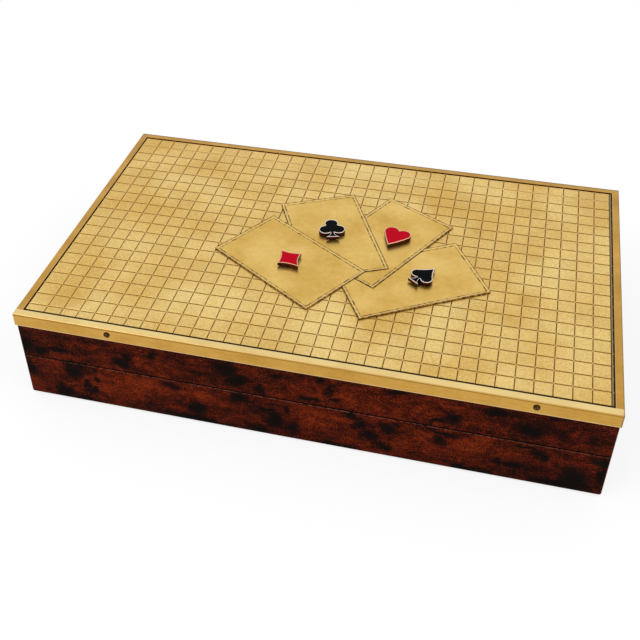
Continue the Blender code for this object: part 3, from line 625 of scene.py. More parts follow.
def straight_grain(name, stops, along, rough):
    """Wood whose grain runs along one axis: X, Y or Z."""
    material = new_finish(name, {"Specular IOR Level": 0.3})
    place = here(material)
    squeeze = tuple(0.04 if axis == along else 1.0 for axis in "XYZ")
    rings = (place * squeeze).noise(4.2, detail=5.0, rough=0.6, warp=0.8)
    fibre = (place * squeeze).noise(0.7, detail=3.0)
    tone = (rings - 0.5) * 1.5 + (fibre - 0.5) * 0.6 + 0.5
    colour = tone.node("ShaderNodeValToRGB", {"stops": stops}, {"Fac": tone})
    gloss = fibre * 0.2 + rough
    return wire_up(material, base_color=colour, roughness=gloss,
                   normal=(rings + fibre).bump(0.05))


CEDAR_STOPS = [(0.0, (0.10, 0.030, 0.012)), (0.45, (0.235, 0.092, 0.040)),
               (0.75, (0.34, 0.155, 0.072)), (1.0, (0.42, 0.21, 0.105))]
PLY_STOPS = [(0.0, (0.30, 0.17, 0.075)), (0.5, (0.46, 0.30, 0.155)), (1.0, (0.58, 0.42, 0.24))]


def felt_finish(name, colour, shadow):
    material = new_finish(name, {"Specular IOR Level": 0.1, "Sheen Weight": 0.25,
                                 "Sheen Roughness": 0.6})
    place = here(material)
    fibres = place.noise(0.5, detail=4.0, rough=0.7)
    tone = (place.noise(14.0, detail=3.0) - 0.5) * 0.5 + (fibres - 0.5) * 1.4 + 0.5
    rough = fibres * 0.1 + 0.88
    return wire_up(material, base_color=tone.step(0.1, 0.9).blend(shadow, colour),
                   roughness=rough, normal=fibres.bump(0.15))


cedar = {axis: straight_grain("liner_wood_" + axis.lower(), CEDAR_STOPS, axis, 0.42)
         for axis in "XY"}
board_ply = straight_grain("board_wood", PLY_STOPS, "X", 0.5)
baize = felt_finish("baize", (0.022, 0.105, 0.050), (0.008, 0.048, 0.022))
print("woods:", [wood.name for wood in cedar.values()], "and", baize.name)

# %% [markdown]
# Dress the carried-over solids
#
# Most solids keep their own shape. A finish is matched to each by its name.

# %% Dress the solids
KEPT_FINISHES = (
    ("lid_wall_", burl_veneer), ("base_wall_", burl_veneer),
    ("base_liner_front", cedar["X"]), ("base_liner_back", cedar["X"]),
    ("base_liner_", cedar["Y"]), ("cross_divider_", cedar["X"]), ("long_divider_", cedar["Y"]),
    ("channel_partition_", cedar["Y"]), ("lid_board", board_ply), ("base_board", board_ply),
)


def dress(obj, material):
    obj.data.materials.clear()
    obj.data.materials.append(material)


kept = 0
for name, node in nodes.items():
    finish = next((material for start, material in KEPT_FINISHES if name.startswith(start)), None)
    if finish:
        dress(node, finish)
        kept += 1
print("solids dressed:", kept)

# %% [markdown]
# New pieces
#
# Each new piece stands at the origin with its place in its mesh, rides on the lid or the base,
# and says which solids it stands for and which finish it has.

# %% A home for new pieces


def settle(obj, material, body, stands_for):
    """Link a finished piece, give it its finish, and hand it to the frame."""
    if obj.name not in scene.collection.objects:
        scene.collection.objects.link(obj)
    if material:
        dress(obj, material)
    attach(obj, body)
    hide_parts(*stands_for)
    return obj


def mesh_object(name, bm, smooth=40.0):
    mesh = bpy.data.meshes.new(name)
    bm.normal_update()
    bm.to_mesh(mesh)
    bm.free()
    mesh.shade_smooth()
    mesh.set_sharp_from_angle(angle=math.radians(smooth))
    return bpy.data.objects.new(name, mesh)


def merged_copy(node):
    """A solid's mesh with its loose triangles joined at the corners that they share."""
    bm = bmesh.new()
    bm.from_mesh(node.data)
    bmesh.ops.remove_doubles(bm, verts=bm.verts, dist=0.001 * MM)
    return bm


print("ready for new pieces")

# %% [markdown]
# The frame's strips
#
# A frame maker planes each mitre until two strips meet with hardly a line. The solids keep a
# clear gap there, so copies of the strips are drawn out at their ends until the gap is as fine
# as a hair.

# %% Strips with tight mitres
MITRE_GAP = 0.03            # half of the hairline that is left at a mitre
MITRE_SLACK = 0.05          # points this near the cut's plane belong to it
STRIP_SIDES = ("front", "right", "back", "left")


def strip_piece(side):
    bm = merged_copy(nodes["lid_frame_" + side])
    along, across = (0, 1) if side in ("front", "back") else (1, 0)

    def overhang(vert):
        """How far a point lies past the corner's diagonal, in millimetres."""
        return ((BRASS_REACH[along] - abs(vert.co[along]) / MM)
                - (BRASS_REACH[across] - abs(vert.co[across]) / MM))

    cut = min(overhang(vert) for vert in bm.verts)
    for vert in bm.verts:
        if overhang(vert) < cut + MITRE_SLACK:
            vert.co[along] += math.copysign((cut - MITRE_GAP) * MM, vert.co[along])
    obj = mesh_object("frame_strip_" + side, bm, 12.0)
    return settle(obj, frame_brass, "lid", ["lid_frame_" + side])


for side in STRIP_SIDES:
    strip_piece(side)
print("frame strips:", len(STRIP_SIDES))

# %% [markdown]
# The ruled plate
#
# An engraver rules a plate with a V-shaped tool along a straight edge. Every line follows one
# rule, so the plate is a recipe of Geometry Nodes. A flat grid has five steps to a cell. Each
# point finds its nearest line and how many steps it stands from it, and the rule turns that into
# a place and a depth. Where two lines cross, the tool was lifted, which leaves a small bright
# island. The lines that run left to right are wider, and the first of them is nearly worn away.

# %% A plate ruled by Geometry Nodes
STEPS = 5                   # grid steps in a cell: line, lip, flat, flat, lip
PLATE_SIZES = {"Length": (PLATE_HIGH.x - PLATE_LOW.x) * MM,
               "Depth": (PLATE_HIGH.y - PLATE_LOW.y) * MM,
               "Top": PLATE_HIGH.z * MM, "Under": PLATE_LOW.z * MM,
               "First Column": 1.2, "Last Column": 1.1,
               "Left Last Row": 0.65, "Right Last Row": 1.15,
               "Column Groove": 0.85 * MM, "Row Groove": 1.25 * MM,
               "Groove Depth": GROOVE_DEPTH * MM, "Lip Width": 0.22 * MM,
               "Lip Drop": 0.02 * MM, "Worn Line": 0.35, "Island Share": 0.35}
PLATE_COUNTS = {"Columns": 33, "Rows": 20}


def new_recipe(name, sizes, counts=None):
    """A Geometry Nodes tree with named inputs, and a wire for each of them."""
    tree = bpy.data.node_groups.new(name, "GeometryNodeTree")
    tree.interface.new_socket("Points", in_out="INPUT", socket_type="NodeSocketGeometry")
    tree.interface.new_socket("Piece", in_out="OUTPUT", socket_type="NodeSocketGeometry")
    for title in sizes:
        tree.interface.new_socket(title, in_out="INPUT", socket_type="NodeSocketFloat")
    for title in counts or {}:
        tree.interface.new_socket(title, in_out="INPUT", socket_type="NodeSocketInt")
    start = tree.nodes.new("NodeGroupInput")
    return {socket.name: Wire(tree, socket) for socket in start.outputs if socket.name}


def finish_recipe(geometry, material):
    tree = geometry.tree
    whole = geometry.node("GeometryNodeRealizeInstances", None, {0: geometry})
    dressed = whole.node("GeometryNodeSetMaterial", None, {0: whole, "Material": material})
    end = tree.nodes.new("NodeGroupOutput")
    tree.links.new(dressed.socket, end.inputs[0])
    return tree


def cook(name, tree, values, points=None):
    """Run a recipe and keep what it makes as the plain mesh of a new object."""
    start = points or bpy.data.meshes.new(name + "_points")
    obj = bpy.data.objects.new(name, start)
    scene.collection.objects.link(obj)
    modifier = obj.modifiers.new("recipe", "NODES")
    modifier.node_group = tree
    for socket in tree.interface.items_tree:
        if socket.in_out == "INPUT" and socket.name in values:
            modifier[socket.identifier] = values[socket.name]
    bpy.context.view_layer.update()
    made = bpy.data.meshes.new_from_object(
        obj.evaluated_get(bpy.context.evaluated_depsgraph_get()))
    obj.modifiers.remove(modifier)
    obj.data = made
    made.name = name
    return obj


def nearest_line(steps):
    """The number of the nearest line, and how many steps a point stands past it."""
    line = steps.work("FLOOR", (steps + 2.0) / float(STEPS))
    return line, steps - line * float(STEPS)


def lip_offset(past, groove, lip):
    """Steps past a line turned into a distance: half a groove, then a lip."""
    far = abs(past)
    side = past.work("SIGN", past)
    return side * (far.lesser(1.0) * (groove / 2.0) + (far - 1.0).greater(0.0) * lip)


def plate_recipe():
    given = new_recipe("ruled_plate", PLATE_SIZES, PLATE_COUNTS)
    size = given["Length"]
    columns, rows = given["Columns"], given["Rows"]
    wide, deep = columns * float(STEPS), rows * float(STEPS)
    flat = size.node("GeometryNodeMeshGrid", None,
                     {"Size X": wide, "Size Y": deep, "Vertices X": wide + 1.0,
                      "Vertices Y": deep + 1.0})
    place = size.node("GeometryNodeInputPosition")
    cell_x = size.work("FLOOR", (place.part("X") + wide / 2.0) / float(STEPS))
    cell_y = size.work("FLOOR", (place.part("Y") + deep / 2.0) / float(STEPS))
    chance = size.node("FunctionNodeRandomValue", {"data_type": "FLOAT"},
                       {"ID": cell_y * columns + cell_x, "Seed": 4}, output=1)
    tinted = size.node("GeometryNodeStoreNamedAttribute",
                       {"data_type": "FLOAT", "domain": "FACE"},
                       {"Geometry": flat, "Name": CELL_TINT, "Value": chance})
    raised = size.node("GeometryNodeExtrudeMesh", {"mode": "FACES"},
                       {"Mesh": tinted, "Offset": size.vector(0.0, 0.0, 1.0),
                        "Individual": False})
    under = size.node("GeometryNodeFlipFaces", None, {0: tinted})
    shell = size.node("GeometryNodeJoinGeometry", None, {0: [raised, under]})
    closed = size.node("GeometryNodeMergeByDistance", None, {0: shell, "Distance": 0.1})

    across = size.work("ROUND", place.part("X") + wide / 2.0)
    down = size.work("ROUND", deep / 2.0 - place.part("Y"))
    column, past_x = nearest_line(across)
    row, past_y = nearest_line(down)
    first, last = given["First Column"] - 1.0, given["Last Column"] - 1.0
    pitch = size / (columns + first + last)
    x = ((column + first * (column > 0.5) + last * (column > columns - 0.5)) * pitch - size / 2.0
         + lip_offset(past_x, given["Column Groove"], given["Lip Width"]))
    left = 1.0 / (rows - 1.0 + given["Left Last Row"])
    right = 1.0 / (rows - 1.0 + given["Right Last Row"])
    share = row * (left + (right - left) * (x / size + 0.5))
    at_front = row > rows - 0.5
    share = share + at_front * (1.0 - share)
    y = (given["Depth"] / 2.0 - share * given["Depth"]
         - lip_offset(past_y, given["Row Groove"], given["Lip Width"]))

    on_x, on_y = abs(past_x) < 0.5, abs(past_y) < 0.5
    off_x, off_y = abs(past_x) > 1.5, abs(past_y) > 1.5
    near = 1.0 - off_x * off_y
    worn = 1.0 - (row < 1.5) * (row > 0.5) * (1.0 - given["Worn Line"])
    along_x = off_x + (1.0 - off_x) * (1.0 - on_x) * given["Island Share"]
    along_y = off_y + (1.0 - off_y) * (1.0 - on_y) * given["Island Share"]
    in_groove = (on_x * along_y).greater(on_y * along_x * worn)
    drop = (near * given["Lip Drop"]).greater(in_groove * given["Groove Depth"])
    top = place.part("Z") > 0.5
    z = given["Under"] + top * (given["Top"] - drop - given["Under"])
    shaped = size.node("GeometryNodeSetPosition", None,
                       {"Geometry": closed, "Position": size.vector(x, y, z)})
    return finish_recipe(shaped, plate_brass)


plate = cook("ruled_plate", plate_recipe(), {**PLATE_SIZES, **PLATE_COUNTS})
settle(plate, None, "lid", ["lid_plate"])
print("plate faces:", len(plate.data.polygons))

# %% [markdown]
# The cards
#
# Each card is a thin brass plate with a shallow bevel. Dark wax has stayed in a scribed line at
# the top of the bevel; its foot is darkened by a painted shadow, and the bevel between them is
# lightened by a painted highlight. These marks have to follow the card's own edges, whichever way
# it is turned, so each card gets a UV map: its own length and width, in decimetres, about its
# middle.

# %% Cards
CARD_HALF = Vector((91.5, 56.0)) / 2
CARD_PLACES = {             # middle on the plate, and turn in degrees
    "diamond": ((-29.83, -21.32), -32.5), "club": ((-6.68, 13.36), -64.3),
    "heart": ((28.91, 14.82), 61.6), "spade": ((53.99, -23.79), 30.3)}
CARD_PALE, CARD_DEEP = (0.77, 0.53, 0.165), (0.60, 0.365, 0.070)
BEVEL_HIGHLIGHT, WAX_AND_SHADOW_BROWN = (0.86, 0.64, 0.30), (0.075, 0.036, 0.010)
SCRIBED_IN = 2.1            # from a card's edge to its scribed line
UV_SPAN = 100.0             # millimetres to one unit of the UV map


def card_finish():
    material = new_finish("card_brass", {"Metallic": 1.0})
    place = here(material)
    base = cloudy(place, CARD_PALE, CARD_DEEP, 26.0, 4.5, 1.0)
    base = base.shade((grain(place, 0.9) - 0.5) * 0.16 + 1.0)
    own = place.node("ShaderNodeUVMap", {"uv_map": "card"}) * ((UV_SPAN,) * 3)
    depth = (CARD_HALF.x - abs(own.part("X"))).lesser(CARD_HALF.y - abs(own.part("Y")))
    broken = own.noise(2.8, detail=2.0).step(0.42, 0.62) * 0.72 + 0.28
    scribed = abs(depth - SCRIBED_IN).step(0.62, 0.30) * broken
    # A painted shadow along the card's foot, on every side.
    foot = depth.step(0.80, 0.45) * (broken * 0.7 + 0.3)
    dark_lines = scribed.greater(foot)
    # A painted highlight lightens the bevel between the two dark lines.
    bevel_highlight = depth.step(2.0, 1.7) * (1.0 - dark_lines)
    base = (bevel_highlight * 0.35).blend(base, BEVEL_HIGHLIGHT)
    colour = (dark_lines * 0.93).blend(base, WAX_AND_SHADOW_BROWN)
    rough = place.noise(9.0) * 0.14 + dark_lines * 0.2 + 0.28
    relief = place.noise(1.3, detail=3.0) + place.noise(14.0) * 3.0
    return wire_up(material, base_color=colour, roughness=rough, normal=relief.bump(0.012))


def card_piece(name, middle, turn, material):
    bm = merged_copy(nodes["card_" + name])
    layer = bm.loops.layers.uv.new("card")
    back = Matrix.Rotation(-math.radians(turn), 2)
    for face in bm.faces:
        for loop in face.loops:
            own = back @ (loop.vert.co.xy / MM - Vector(middle))
            loop[layer].uv = own / UV_SPAN
    obj = mesh_object("card_%s_face" % name, bm, 5.0)
    return settle(obj, material, "lid", ["card_" + name])


card_brass = card_finish()
for name, (middle, turn) in CARD_PLACES.items():
    card_piece(name, middle, turn, card_brass)
print("cards:", list(CARD_PLACES))

# %% [markdown]
# Suits and their enamel
#
# A suit is a sawn brass figure with a thin rim, and glass enamel fills it almost to the brim.
# Each outline is drawn from arcs and curves by a function that can also draw it smaller by a
# given margin, point for point. Stacking such outlines at different heights gives the wall, the
# rim and the sunk floor, and the same function makes the enamel fit inside.

# %% Suit outlines
SUIT_PLACES = {             # middle on the plate, turn in degrees, and height of the figure
    "diamond": ((-28.91, -23.33), 46.0, 22.2), "club": ((-8.05, 17.48), 16.0, 21.2),
    "heart": ((37.06, 17.75), -17.0, 21.8), "spade": ((62.86, -20.40), -37.0, 20.8)}


def arc(centre, radius, start, end, steps):
    turns = [math.radians(start + (end - start) * step / steps) for step in range(steps + 1)]
    return [(centre[0] + radius * math.cos(turn), centre[1] + radius * math.sin(turn))
            for turn in turns]


def curve(start, pull, end, steps):
    """Points from start to end on a curve drawn towards pull."""
    points = []
    for step in range(steps + 1):
        t = step / steps
        weights = ((1 - t) ** 2, 2 * t * (1 - t), t ** 2)
        points.append(tuple(sum(w * p[axis] for w, p in zip(weights, (start, pull, end)))
                            for axis in (0, 1)))
    return points


def both_halves(right):
    """Complete a figure whose right half runs from its foot to its top."""
    return right + [(-x, y) for x, y in reversed(right) if x > 1e-6]


def seen_from(centre, point):
    return math.degrees(math.atan2(point[1] - centre[1], point[0] - centre[0]))


STEM_HALF = 0.055


def stem(margin, top):
    """The right half of the flared foot, up to where the lobes begin."""
    width = STEM_HALF - 0.7 * margin
    foot = (0.215 - 2.2 * margin, -0.5 + margin)
    return curve(foot, (width + 0.012, -0.43 + margin), (width, top), 7)


def stem_meets(lobe, radius):
    """The height where the stem's edge meets a lobe's underside."""
    return lobe[1] - math.sqrt(radius ** 2 - (lobe[0] - STEM_HALF) ** 2)


def diamond_shape(margin):
    right, top = (0.435 - 2.0 * margin, 0.0), (0.0, 0.5 - 2.0 * margin)
    side = curve(right, (0.145 - 0.4 * margin, 0.165 - 0.4 * margin), top, 10)
    half = side + [(-x, y) for x, y in reversed(side[:-1])]
    return half + [(-x, -y) for x, y in half[1:-1]]


def club_shape(margin):
    side, crown, radius = (0.212, -0.075), (0.0, 0.265), 0.228
    under = stem_meets(side, radius)
    reach = math.hypot(side[0], crown[1] - side[1]) / 2
    spread = math.degrees(math.acos(reach / radius))
    towards = seen_from(side, crown)
    lobe = arc(side, radius - margin, seen_from(side, (STEM_HALF, under)) + 2.0,
               towards - spread - 1.5, 22)
    top = arc(crown, radius - margin, towards - 180.0 + spread + 1.5, 90.0, 14)
    top[-1] = (0.0, top[-1][1])
    return both_halves(stem(margin, under) + lobe + top)


def heart_shape(margin):
    lobe, radius = (0.205, 0.21), 0.24
    dip = lobe[1] + math.sqrt(radius ** 2 - lobe[0] ** 2)
    round_part = arc(lobe, radius - margin, -35.0, seen_from(lobe, (0.0, dip)) - 2.0, 26)
    flank = curve((0.0, -0.5 + 1.7 * margin), (0.255 - margin, -0.19 + 0.4 * margin),
                  round_part[0], 10)
    return both_halves(flank + round_part[1:] + [(0.0, dip - margin)])


def spade_shape(margin):
    lobe, radius = (0.2, -0.1), 0.2
    under = stem_meets(lobe, radius)
    round_part = arc(lobe, radius - margin, seen_from(lobe, (STEM_HALF, under)) + 2.0, 38.0, 22)
    flank = curve(round_part[-1], (0.13 - 0.8 * margin, 0.23 - 0.5 * margin),
                  (0.0, 0.5 - 2.2 * margin), 12)
    return both_halves(stem(margin, under) + round_part + flank[1:])


SHAPES = {"diamond": diamond_shape, "club": club_shape, "heart": heart_shape,
          "spade": spade_shape}
print("points on each outline:", {name: len(shape(0.0)) for name, shape in SHAPES.items()})

# %% [markdown]
# The metal of a suit is dark on its walls, partly patina where it was never polished and partly
# painted shade, and bright on its rim. The red suits have a warm rim and the black ones a paler
# one. The enamel is glass over colour, smooth with a soft gloss, and darker near the rim, where a
# shadow is painted.

# %% Suits and enamel
RIM = 0.62                  # the rim's width
RIM_BEVEL = (0.10, 0.12)    # how far in and how far down its outer edge is bevelled
RIM_LIP = (0.08, 0.10)      # the same for its inner edge
SUIT_SUNK = 0.9             # from the rim down to the floor under the enamel
ENAMEL_GAP = 0.12           # beside the enamel
ENAMEL_BED = 0.05           # under it
ENAMEL_DROP = 0.1           # its brim lies this far under the rim
ENAMEL_CROWN = ((0.0, -0.12), (0.08, -0.02), (0.35, 0.03), (0.60, 0.05))  # in, and up from the brim


def suit_finish(name, rim_colour):
    material = new_finish(name, {"Metallic": 1.0})
    place = here(material)
    stain = place.noise(1.6, detail=4.0)
    # The walls: dark partly from patina and partly as painted shade.
    wall = stain.step(0.3, 0.75).blend((0.012, 0.004, 0.003), (0.085, 0.022, 0.012))
    polished = place.part("Z").step(SUIT_HIGH.z - 0.30, SUIT_HIGH.z - 0.12)
    rim = (place.noise(1.2, detail=3.0) * 0.35 + 0.8).lesser(1.0)
    colour = (polished * rim).blend(wall, rim_colour)
    rough = stain * 0.2 + 0.22
    return wire_up(material, base_color=colour, roughness=rough, normal=stain.bump(0.02))


def enamel_finish(name, colour, edge, reach):
    """A painted shadow darkens the enamel near the rim; its UV map holds the share of the way in.
    """
    material = new_finish(name, {"Specular IOR Level": SOFT_GLOSS})
    place = here(material)
    inwards = place.node("ShaderNodeUVMap", {"uv_map": "inwards"}).part("X")
    mottle = (place.noise(1.1, detail=3.0) - 0.5) * 0.3
    # A painted shadow: the enamel is darker towards the rim.
    colour = (inwards + mottle).step(0.0, reach).blend(edge, colour)
    rough = place.noise(2.0) * 0.10 + 0.14
    return wire_up(material, base_color=colour, roughness=rough,
                   normal=place.noise(3.0).bump(0.03))


def stack(layers, size, turn, middle):
    """Join like outlines, each (margin, height, shape), into one closed body."""
    bm = bmesh.new()
    rings = []
    for margin, height, shape in layers:
        rings.append([bm.verts.new((x * size * MM, y * size * MM, height * MM))
                      for x, y in shape(margin / size)])
    for low, high in zip(rings, rings[1:]):
        for index in range(len(low)):
            after = (index + 1) % len(low)
            bm.faces.new((low[index], low[after], high[after], high[index]))
    bm.faces.new(list(reversed(rings[0])))
    bm.faces.new(rings[-1])
    bmesh.ops.triangulate(bm, faces=[face for face in bm.faces if len(face.verts) > 4])
    bmesh.ops.recalc_face_normals(bm, faces=bm.faces)
    place = Matrix.Translation((middle[0] * MM, middle[1] * MM, 0.0))
    bmesh.ops.transform(bm, matrix=place @ Matrix.Rotation(math.radians(turn), 4, "Z"),
                        verts=bm.verts)
    return bm


def suit_pieces(name, metal, enamel):
    shape, (middle, turn, size) = SHAPES[name], SUIT_PLACES[name]
    low, high = SUIT_LOW.z, SUIT_HIGH.z
    body = stack([(0.0, low, shape), (0.0, high - RIM_BEVEL[1], shape),
                  (RIM_BEVEL[0], high, shape), (RIM - RIM_LIP[0], high, shape),
                  (RIM, high - RIM_LIP[1], shape), (RIM, high - SUIT_SUNK, shape)],
                 size, turn, middle)
    settle(mesh_object("suit_%s_metal" % name, body), metal, "lid", ["suit_" + name])
    fit, brim = RIM + ENAMEL_GAP, high - ENAMEL_DROP
    steps = [(0.0, high - SUIT_SUNK + ENAMEL_BED)]
    steps += [(margin, brim + rise) for margin, rise in ENAMEL_CROWN]
    glass = stack([(fit + margin, height, shape) for margin, height in steps], size, turn,
                  middle)
    layer = glass.loops.layers.uv.new("inwards")
    heights = [height for margin, height in steps]
    for face in glass.faces:
        for loop in face.loops:
            ring = min(range(len(steps)),
                       key=lambda index: abs(heights[index] * MM - loop.vert.co.z))
            loop[layer].uv = (max(ring - 1, 0) / (len(steps) - 2), 0.0)
    settle(mesh_object("enamel_%s_glass" % name, glass, 60.0), enamel, "lid",
           ["enamel_" + name])


warm_rim = suit_finish("suit_metal_warm", (0.86, 0.44, 0.27))
pale_rim = suit_finish("suit_metal_pale", (0.80, 0.68, 0.60))
red_enamel = enamel_finish("red_enamel", (0.43, 0.002, 0.012), (0.14, 0.001, 0.004), 0.75)
black_enamel = enamel_finish("black_enamel", (0.003, 0.003, 0.0035), (0.0015, 0.0015, 0.0015),
                             0.5)
for name in SHAPES:
    red = name in ("diamond", "heart")
    suit_pieces(name, warm_rim if red else pale_rim, red_enamel if red else black_enamel)
print("suits:", list(SHAPES))

# %% [markdown]
# Screws
#
# Six domed screws go through the frame into the lid, and eight flat ones hold the hinge leaves.
# All have a straight slot. One recipe of Geometry Nodes makes a screw from its sizes and sets a
# copy on each point, turned the way that the point faces, with the slot at a chance angle.

# %% Screws by Geometry Nodes
FROM_AXIS = "from_axis"     # how far out on the head a point is: 1 at its rim
SCREW_RINGS, SCREW_SIDES = 9, 20
NECK_STEP = 0.01 * MM       # keeps a flat head's rim apart from its neck
DOME_REACH = 0.97           # how near the dome's last ring comes to the axis
DOMED = {"Head Radius": 2.1 * MM, "Head Rise": 0.5 * MM, "Head Drop": 0.0,
         "Shank Radius": 0.9 * MM, "Shank Length": 4.4 * MM, "Slot Width": 0.5 * MM,
         "Slot Depth": 0.34 * MM}
FLAT = {"Head Radius": 1.7 * MM, "Head Rise": 0.0, "Head Drop": 0.9 * MM,
        "Shank Radius": 0.8 * MM, "Shank Length": 8.0 * MM, "Slot Width": 0.5 * MM,
        "Slot Depth": 0.45 * MM}


def head_and_shank(given):
    """A closed screw along Z, its head's rim at height 0, with the slot cut across it."""
    radius, shank = given["Head Radius"], given["Shank Radius"]
    rise, drop, long = given["Head Rise"], given["Head Drop"], given["Shank Length"]
    path = radius.node("GeometryNodeCurvePrimitiveLine", {"mode": "POINTS"},
                       {"Start": radius.vector(0.0, 0.0, 0.0),
                        "End": radius.vector(0.0, 0.0, 1.0)})
    fine = radius.node("GeometryNodeResampleCurve", {"mode": "COUNT"},
                       {"Curve": path, "Count": SCREW_RINGS})
    # Going up the rings: shank's foot, shank's top, head's rim, then the dome
    ring = radius.node("GeometryNodeInputIndex") * 1.0
    dome = ((ring - 2.0) / float(SCREW_RINGS - 3)).greater(0.0).lesser(1.0)
    lift = radius.work("SINE", dome * (math.pi / 2)) * rise
    wide = radius.work("COSINE", dome * (math.pi / 2 * DOME_REACH)) * radius
    at_foot, at_neck = ring < 0.5, (ring < 1.5) * (ring > 0.5)
    flat_neck = (drop < NECK_STEP) * NECK_STEP
    height = lift - at_foot * long - at_neck * (drop + flat_neck)
    width = wide * (1.0 - at_foot) * (1.0 - at_neck) + shank * (at_foot + at_neck)
    shaped = radius.node("GeometryNodeSetPosition", None,
                         {"Geometry": fine, "Position": radius.vector(0.0, 0.0, height)})
    loop = radius.node("GeometryNodeCurvePrimitiveCircle", {"mode": "RADIUS"},
                       {"Resolution": SCREW_SIDES, "Radius": 1.0})
    solid = radius.node("GeometryNodeCurveToMesh", None,
                        {"Curve": shaped, "Profile Curve": loop, "Scale": width,
                         "Fill Caps": True})
    depth = given["Slot Depth"]
    cube = radius.node("GeometryNodeMeshCube", None,
                       {"Size": radius.vector(radius * 3.0, given["Slot Width"], depth * 2.0)})
    cube = radius.node("GeometryNodeTransform", None,
                       {"Geometry": cube, "Translation": radius.vector(0.0, 0.0, rise)})
    slotted = radius.node("GeometryNodeMeshBoolean",
                          {"operation": "DIFFERENCE", "solver": "EXACT"},
                          {"Mesh 1": solid, "Mesh 2": cube})
    flat = radius.node("GeometryNodeInputPosition") * (1.0, 1.0, 0.0)
    return radius.node("GeometryNodeStoreNamedAttribute",
                       {"data_type": "FLOAT", "domain": "POINT"},
                       {"Geometry": slotted, "Name": FROM_AXIS, "Value": flat.length() / radius})


def screw_recipe(name, sizes, material, seed):
    given = new_recipe(name, sizes)
    screw = head_and_shank(given)
    start = given["Points"]
    facing = start.node("GeometryNodeInputNamedAttribute", {"data_type": "FLOAT_VECTOR"},
                        {"Name": "facing"})
    spin = start.node("FunctionNodeRandomValue", {"data_type": "FLOAT"},
                      {2: 0.0, 3: math.pi, "Seed": seed}, output=1)
    turned = start.node("FunctionNodeAlignRotationToVector", {"axis": "Z"}, {"Vector": facing})
    turned = start.node("FunctionNodeRotateRotation", {"rotation_space": "LOCAL"},
                        {"Rotation": turned, "Rotate By": start.vector(0.0, 0.0, spin)})
    spread = start.node("GeometryNodeInstanceOnPoints", None,
                        {"Points": start, "Instance": screw, "Rotation": turned})
    return finish_recipe(spread, material)


def screw_points(names, faces, heads):
    """One point on each screw's rim, read from the solids, and the way that it faces."""
    mesh = bpy.data.meshes.new("screw_points")
    spots = []
    for name, facing, head in zip(names, faces, heads):
        low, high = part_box(name)
        middle, half = (low + high) / 2, (high - low) / 2
        spots.append(middle + Vector(facing) * (half.dot(Vector(map(abs, facing))) - head))
    mesh.from_pydata(spots, [], [])
    attribute = mesh.attributes.new("facing", "FLOAT_VECTOR", "POINT")
    for index, facing in enumerate(faces):
        attribute.data[index].vector = facing
    return mesh


SCREW_WORN_AND_HIGHLIGHT, SCREW_WAX = (0.15, 0.085, 0.045), (0.055, 0.023, 0.006)


def screw_finish():
    """Dark all over with old wax, and lighter in the middle, partly worn and partly a painted
    highlight.
    """
    material = new_finish("dark_screw", {"Metallic": 1.0})
    place = here(material)
    out = place.node("ShaderNodeAttribute", {"attribute_name": FROM_AXIS}, output="Fac")
    # Lighter in the middle: partly wear, partly a painted highlight.
    rim = (out + (place.noise(0.9) - 0.5) * 0.5).step(0.25, 0.70)
    colour = rim.blend(SCREW_WORN_AND_HIGHLIGHT, SCREW_WAX)
    rough = rim * -0.1 + 0.5
    return wire_up(material, base_color=colour, roughness=rough,
                   normal=place.noise(0.7).bump(0.02))


dark_screw = screw_finish()
FRAME_SCREWS = {"front_1": (0, -1, 0), "front_2": (0, -1, 0), "back_1": (0, 1, 0),
                "back_2": (0, 1, 0), "left": (-1, 0, 0), "right": (1, 0, 0)}
frame_names = ["frame_screw_" + spot for spot in FRAME_SCREWS]
points = screw_points(frame_names, list(FRAME_SCREWS.values()),
                      [DOMED["Head Rise"]] * len(frame_names))
settle(cook("frame_screws", screw_recipe("domed_screw", DOMED, dark_screw, 3), DOMED, points),
       None, "lid", frame_names)
leaf_screws = 0
for body, up in (("base", 1), ("lid", -1)):
    names = ["%s_leaf_screw_%s_%d" % (body, hand, index)
             for hand in ("left", "right") for index in (1, 2)]
    leaf_screws += len(names)
    points = screw_points(names, [(0, 0, up)] * len(names), [0.0] * len(names))
    tree = screw_recipe("%s_leaf_screw" % body, FLAT, hinge_brass, 5)
    settle(cook("%s_leaf_screws" % body, tree, FLAT, points), None, body, names)
print("screws:", len(frame_names) + leaf_screws)

# %% [markdown]
# Hinges
#
# The solids of the hinges are right, but their round knuckles were cut into flats. Copies with
# their triangles joined can be shaded smooth, which makes the barrels look turned.

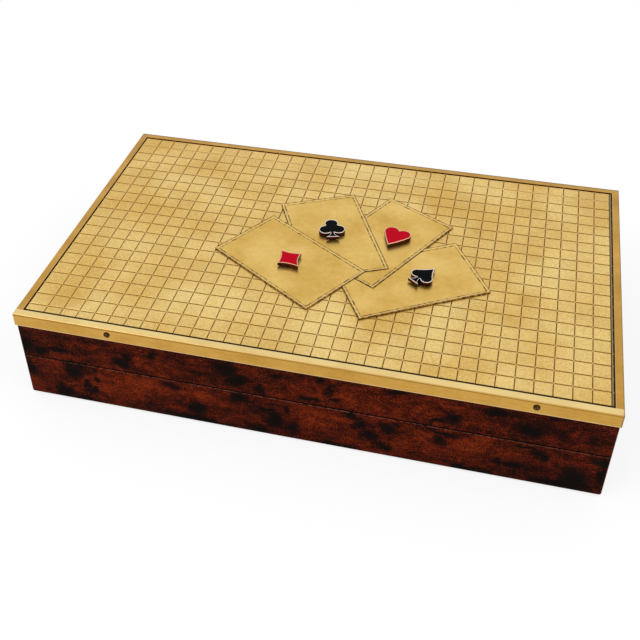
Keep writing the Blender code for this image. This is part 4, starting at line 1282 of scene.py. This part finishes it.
# %% Hinges
HINGE_PARTS = {"hinge_base_leaf_": "base", "hinge_lid_leaf_": "lid", "hinge_pin_": "base"}
KNUCKLE_ANGLE = 35.0        # edges that turn less than this are shaded smooth
for side in ("left", "right"):
    for part, body in HINGE_PARTS.items():
        copy = mesh_object(part + side + "_smooth", merged_copy(nodes[part + side]),
                           KNUCKLE_ANGLE)
        settle(copy, hinge_brass, body, [part + side])
print("hinge pieces:", 2 * len(HINGE_PARTS))

# %% [markdown]
# Felt
#
# Three pieces of baize are cut to size and glued down flat: under the base, on its floor, and in
# the lid. Each is a thin sheet whose nap rises and falls a little, with soft rounded edges.

# %% Felt sheets
NAP = 0.06                  # how far the nap rises and falls
NAP_WAVES = (60, 38)        # swells along a cloth and across it
NAP_SEED = 7.0
FELT_CELLS = (90, 56)
RIM_DROP_SHARE = 0.45       # how much of its thickness a cloth's edge is rounded by
CLOTHS = {"baize_pad": ("base", "base_board", -1), "floor_cloth": ("base", "base_board", 1),
          "lid_cloth": ("lid", "lid_board", -1)}


def felt_sheet(name, body, up):
    """A sheet whose free face looks up (1) or down (-1)."""
    low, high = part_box(name)
    size = high - low
    bm = bmesh.new()
    bmesh.ops.create_grid(bm, x_segments=FELT_CELLS[0], y_segments=FELT_CELLS[1], size=0.5)
    rim_drop = size.z * RIM_DROP_SHARE
    middle = (low + high) / 2
    free, glued = (high.z, low.z) if up > 0 else (low.z, high.z)
    for vert in bm.verts:
        inset = 0.5 - max(abs(vert.co.x), abs(vert.co.y))
        wave = noise.noise(Vector((vert.co.x * NAP_WAVES[0], vert.co.y * NAP_WAVES[1],
                                   up * NAP_SEED)))
        fall = (1 - wave) / 2 * NAP * MM + (rim_drop if inset < 1e-4 else 0.0)
        vert.co = (middle.x + vert.co.x * size.x, middle.y + vert.co.y * size.y,
                   free - up * fall)
    border = [edge for edge in bm.edges if edge.is_boundary]
    skirt = bmesh.ops.extrude_edge_only(bm, edges=border)["geom"]
    for item in skirt:
        if isinstance(item, bmesh.types.BMVert):
            item.co.z = glued
    bmesh.ops.contextual_create(bm, geom=[edge for edge in bm.edges if edge.is_boundary])
    bmesh.ops.recalc_face_normals(bm, faces=bm.faces)
    obj = settle(mesh_object(name + "_felt", bm, 60.0), baize, body, [name])
    return size


for name, (body, rests_on, up) in CLOTHS.items():
    size = felt_sheet(name, body, up)
    print("%s is cut to %.0f by %.0f mm" % (name, size.y / MM, size.x / MM))
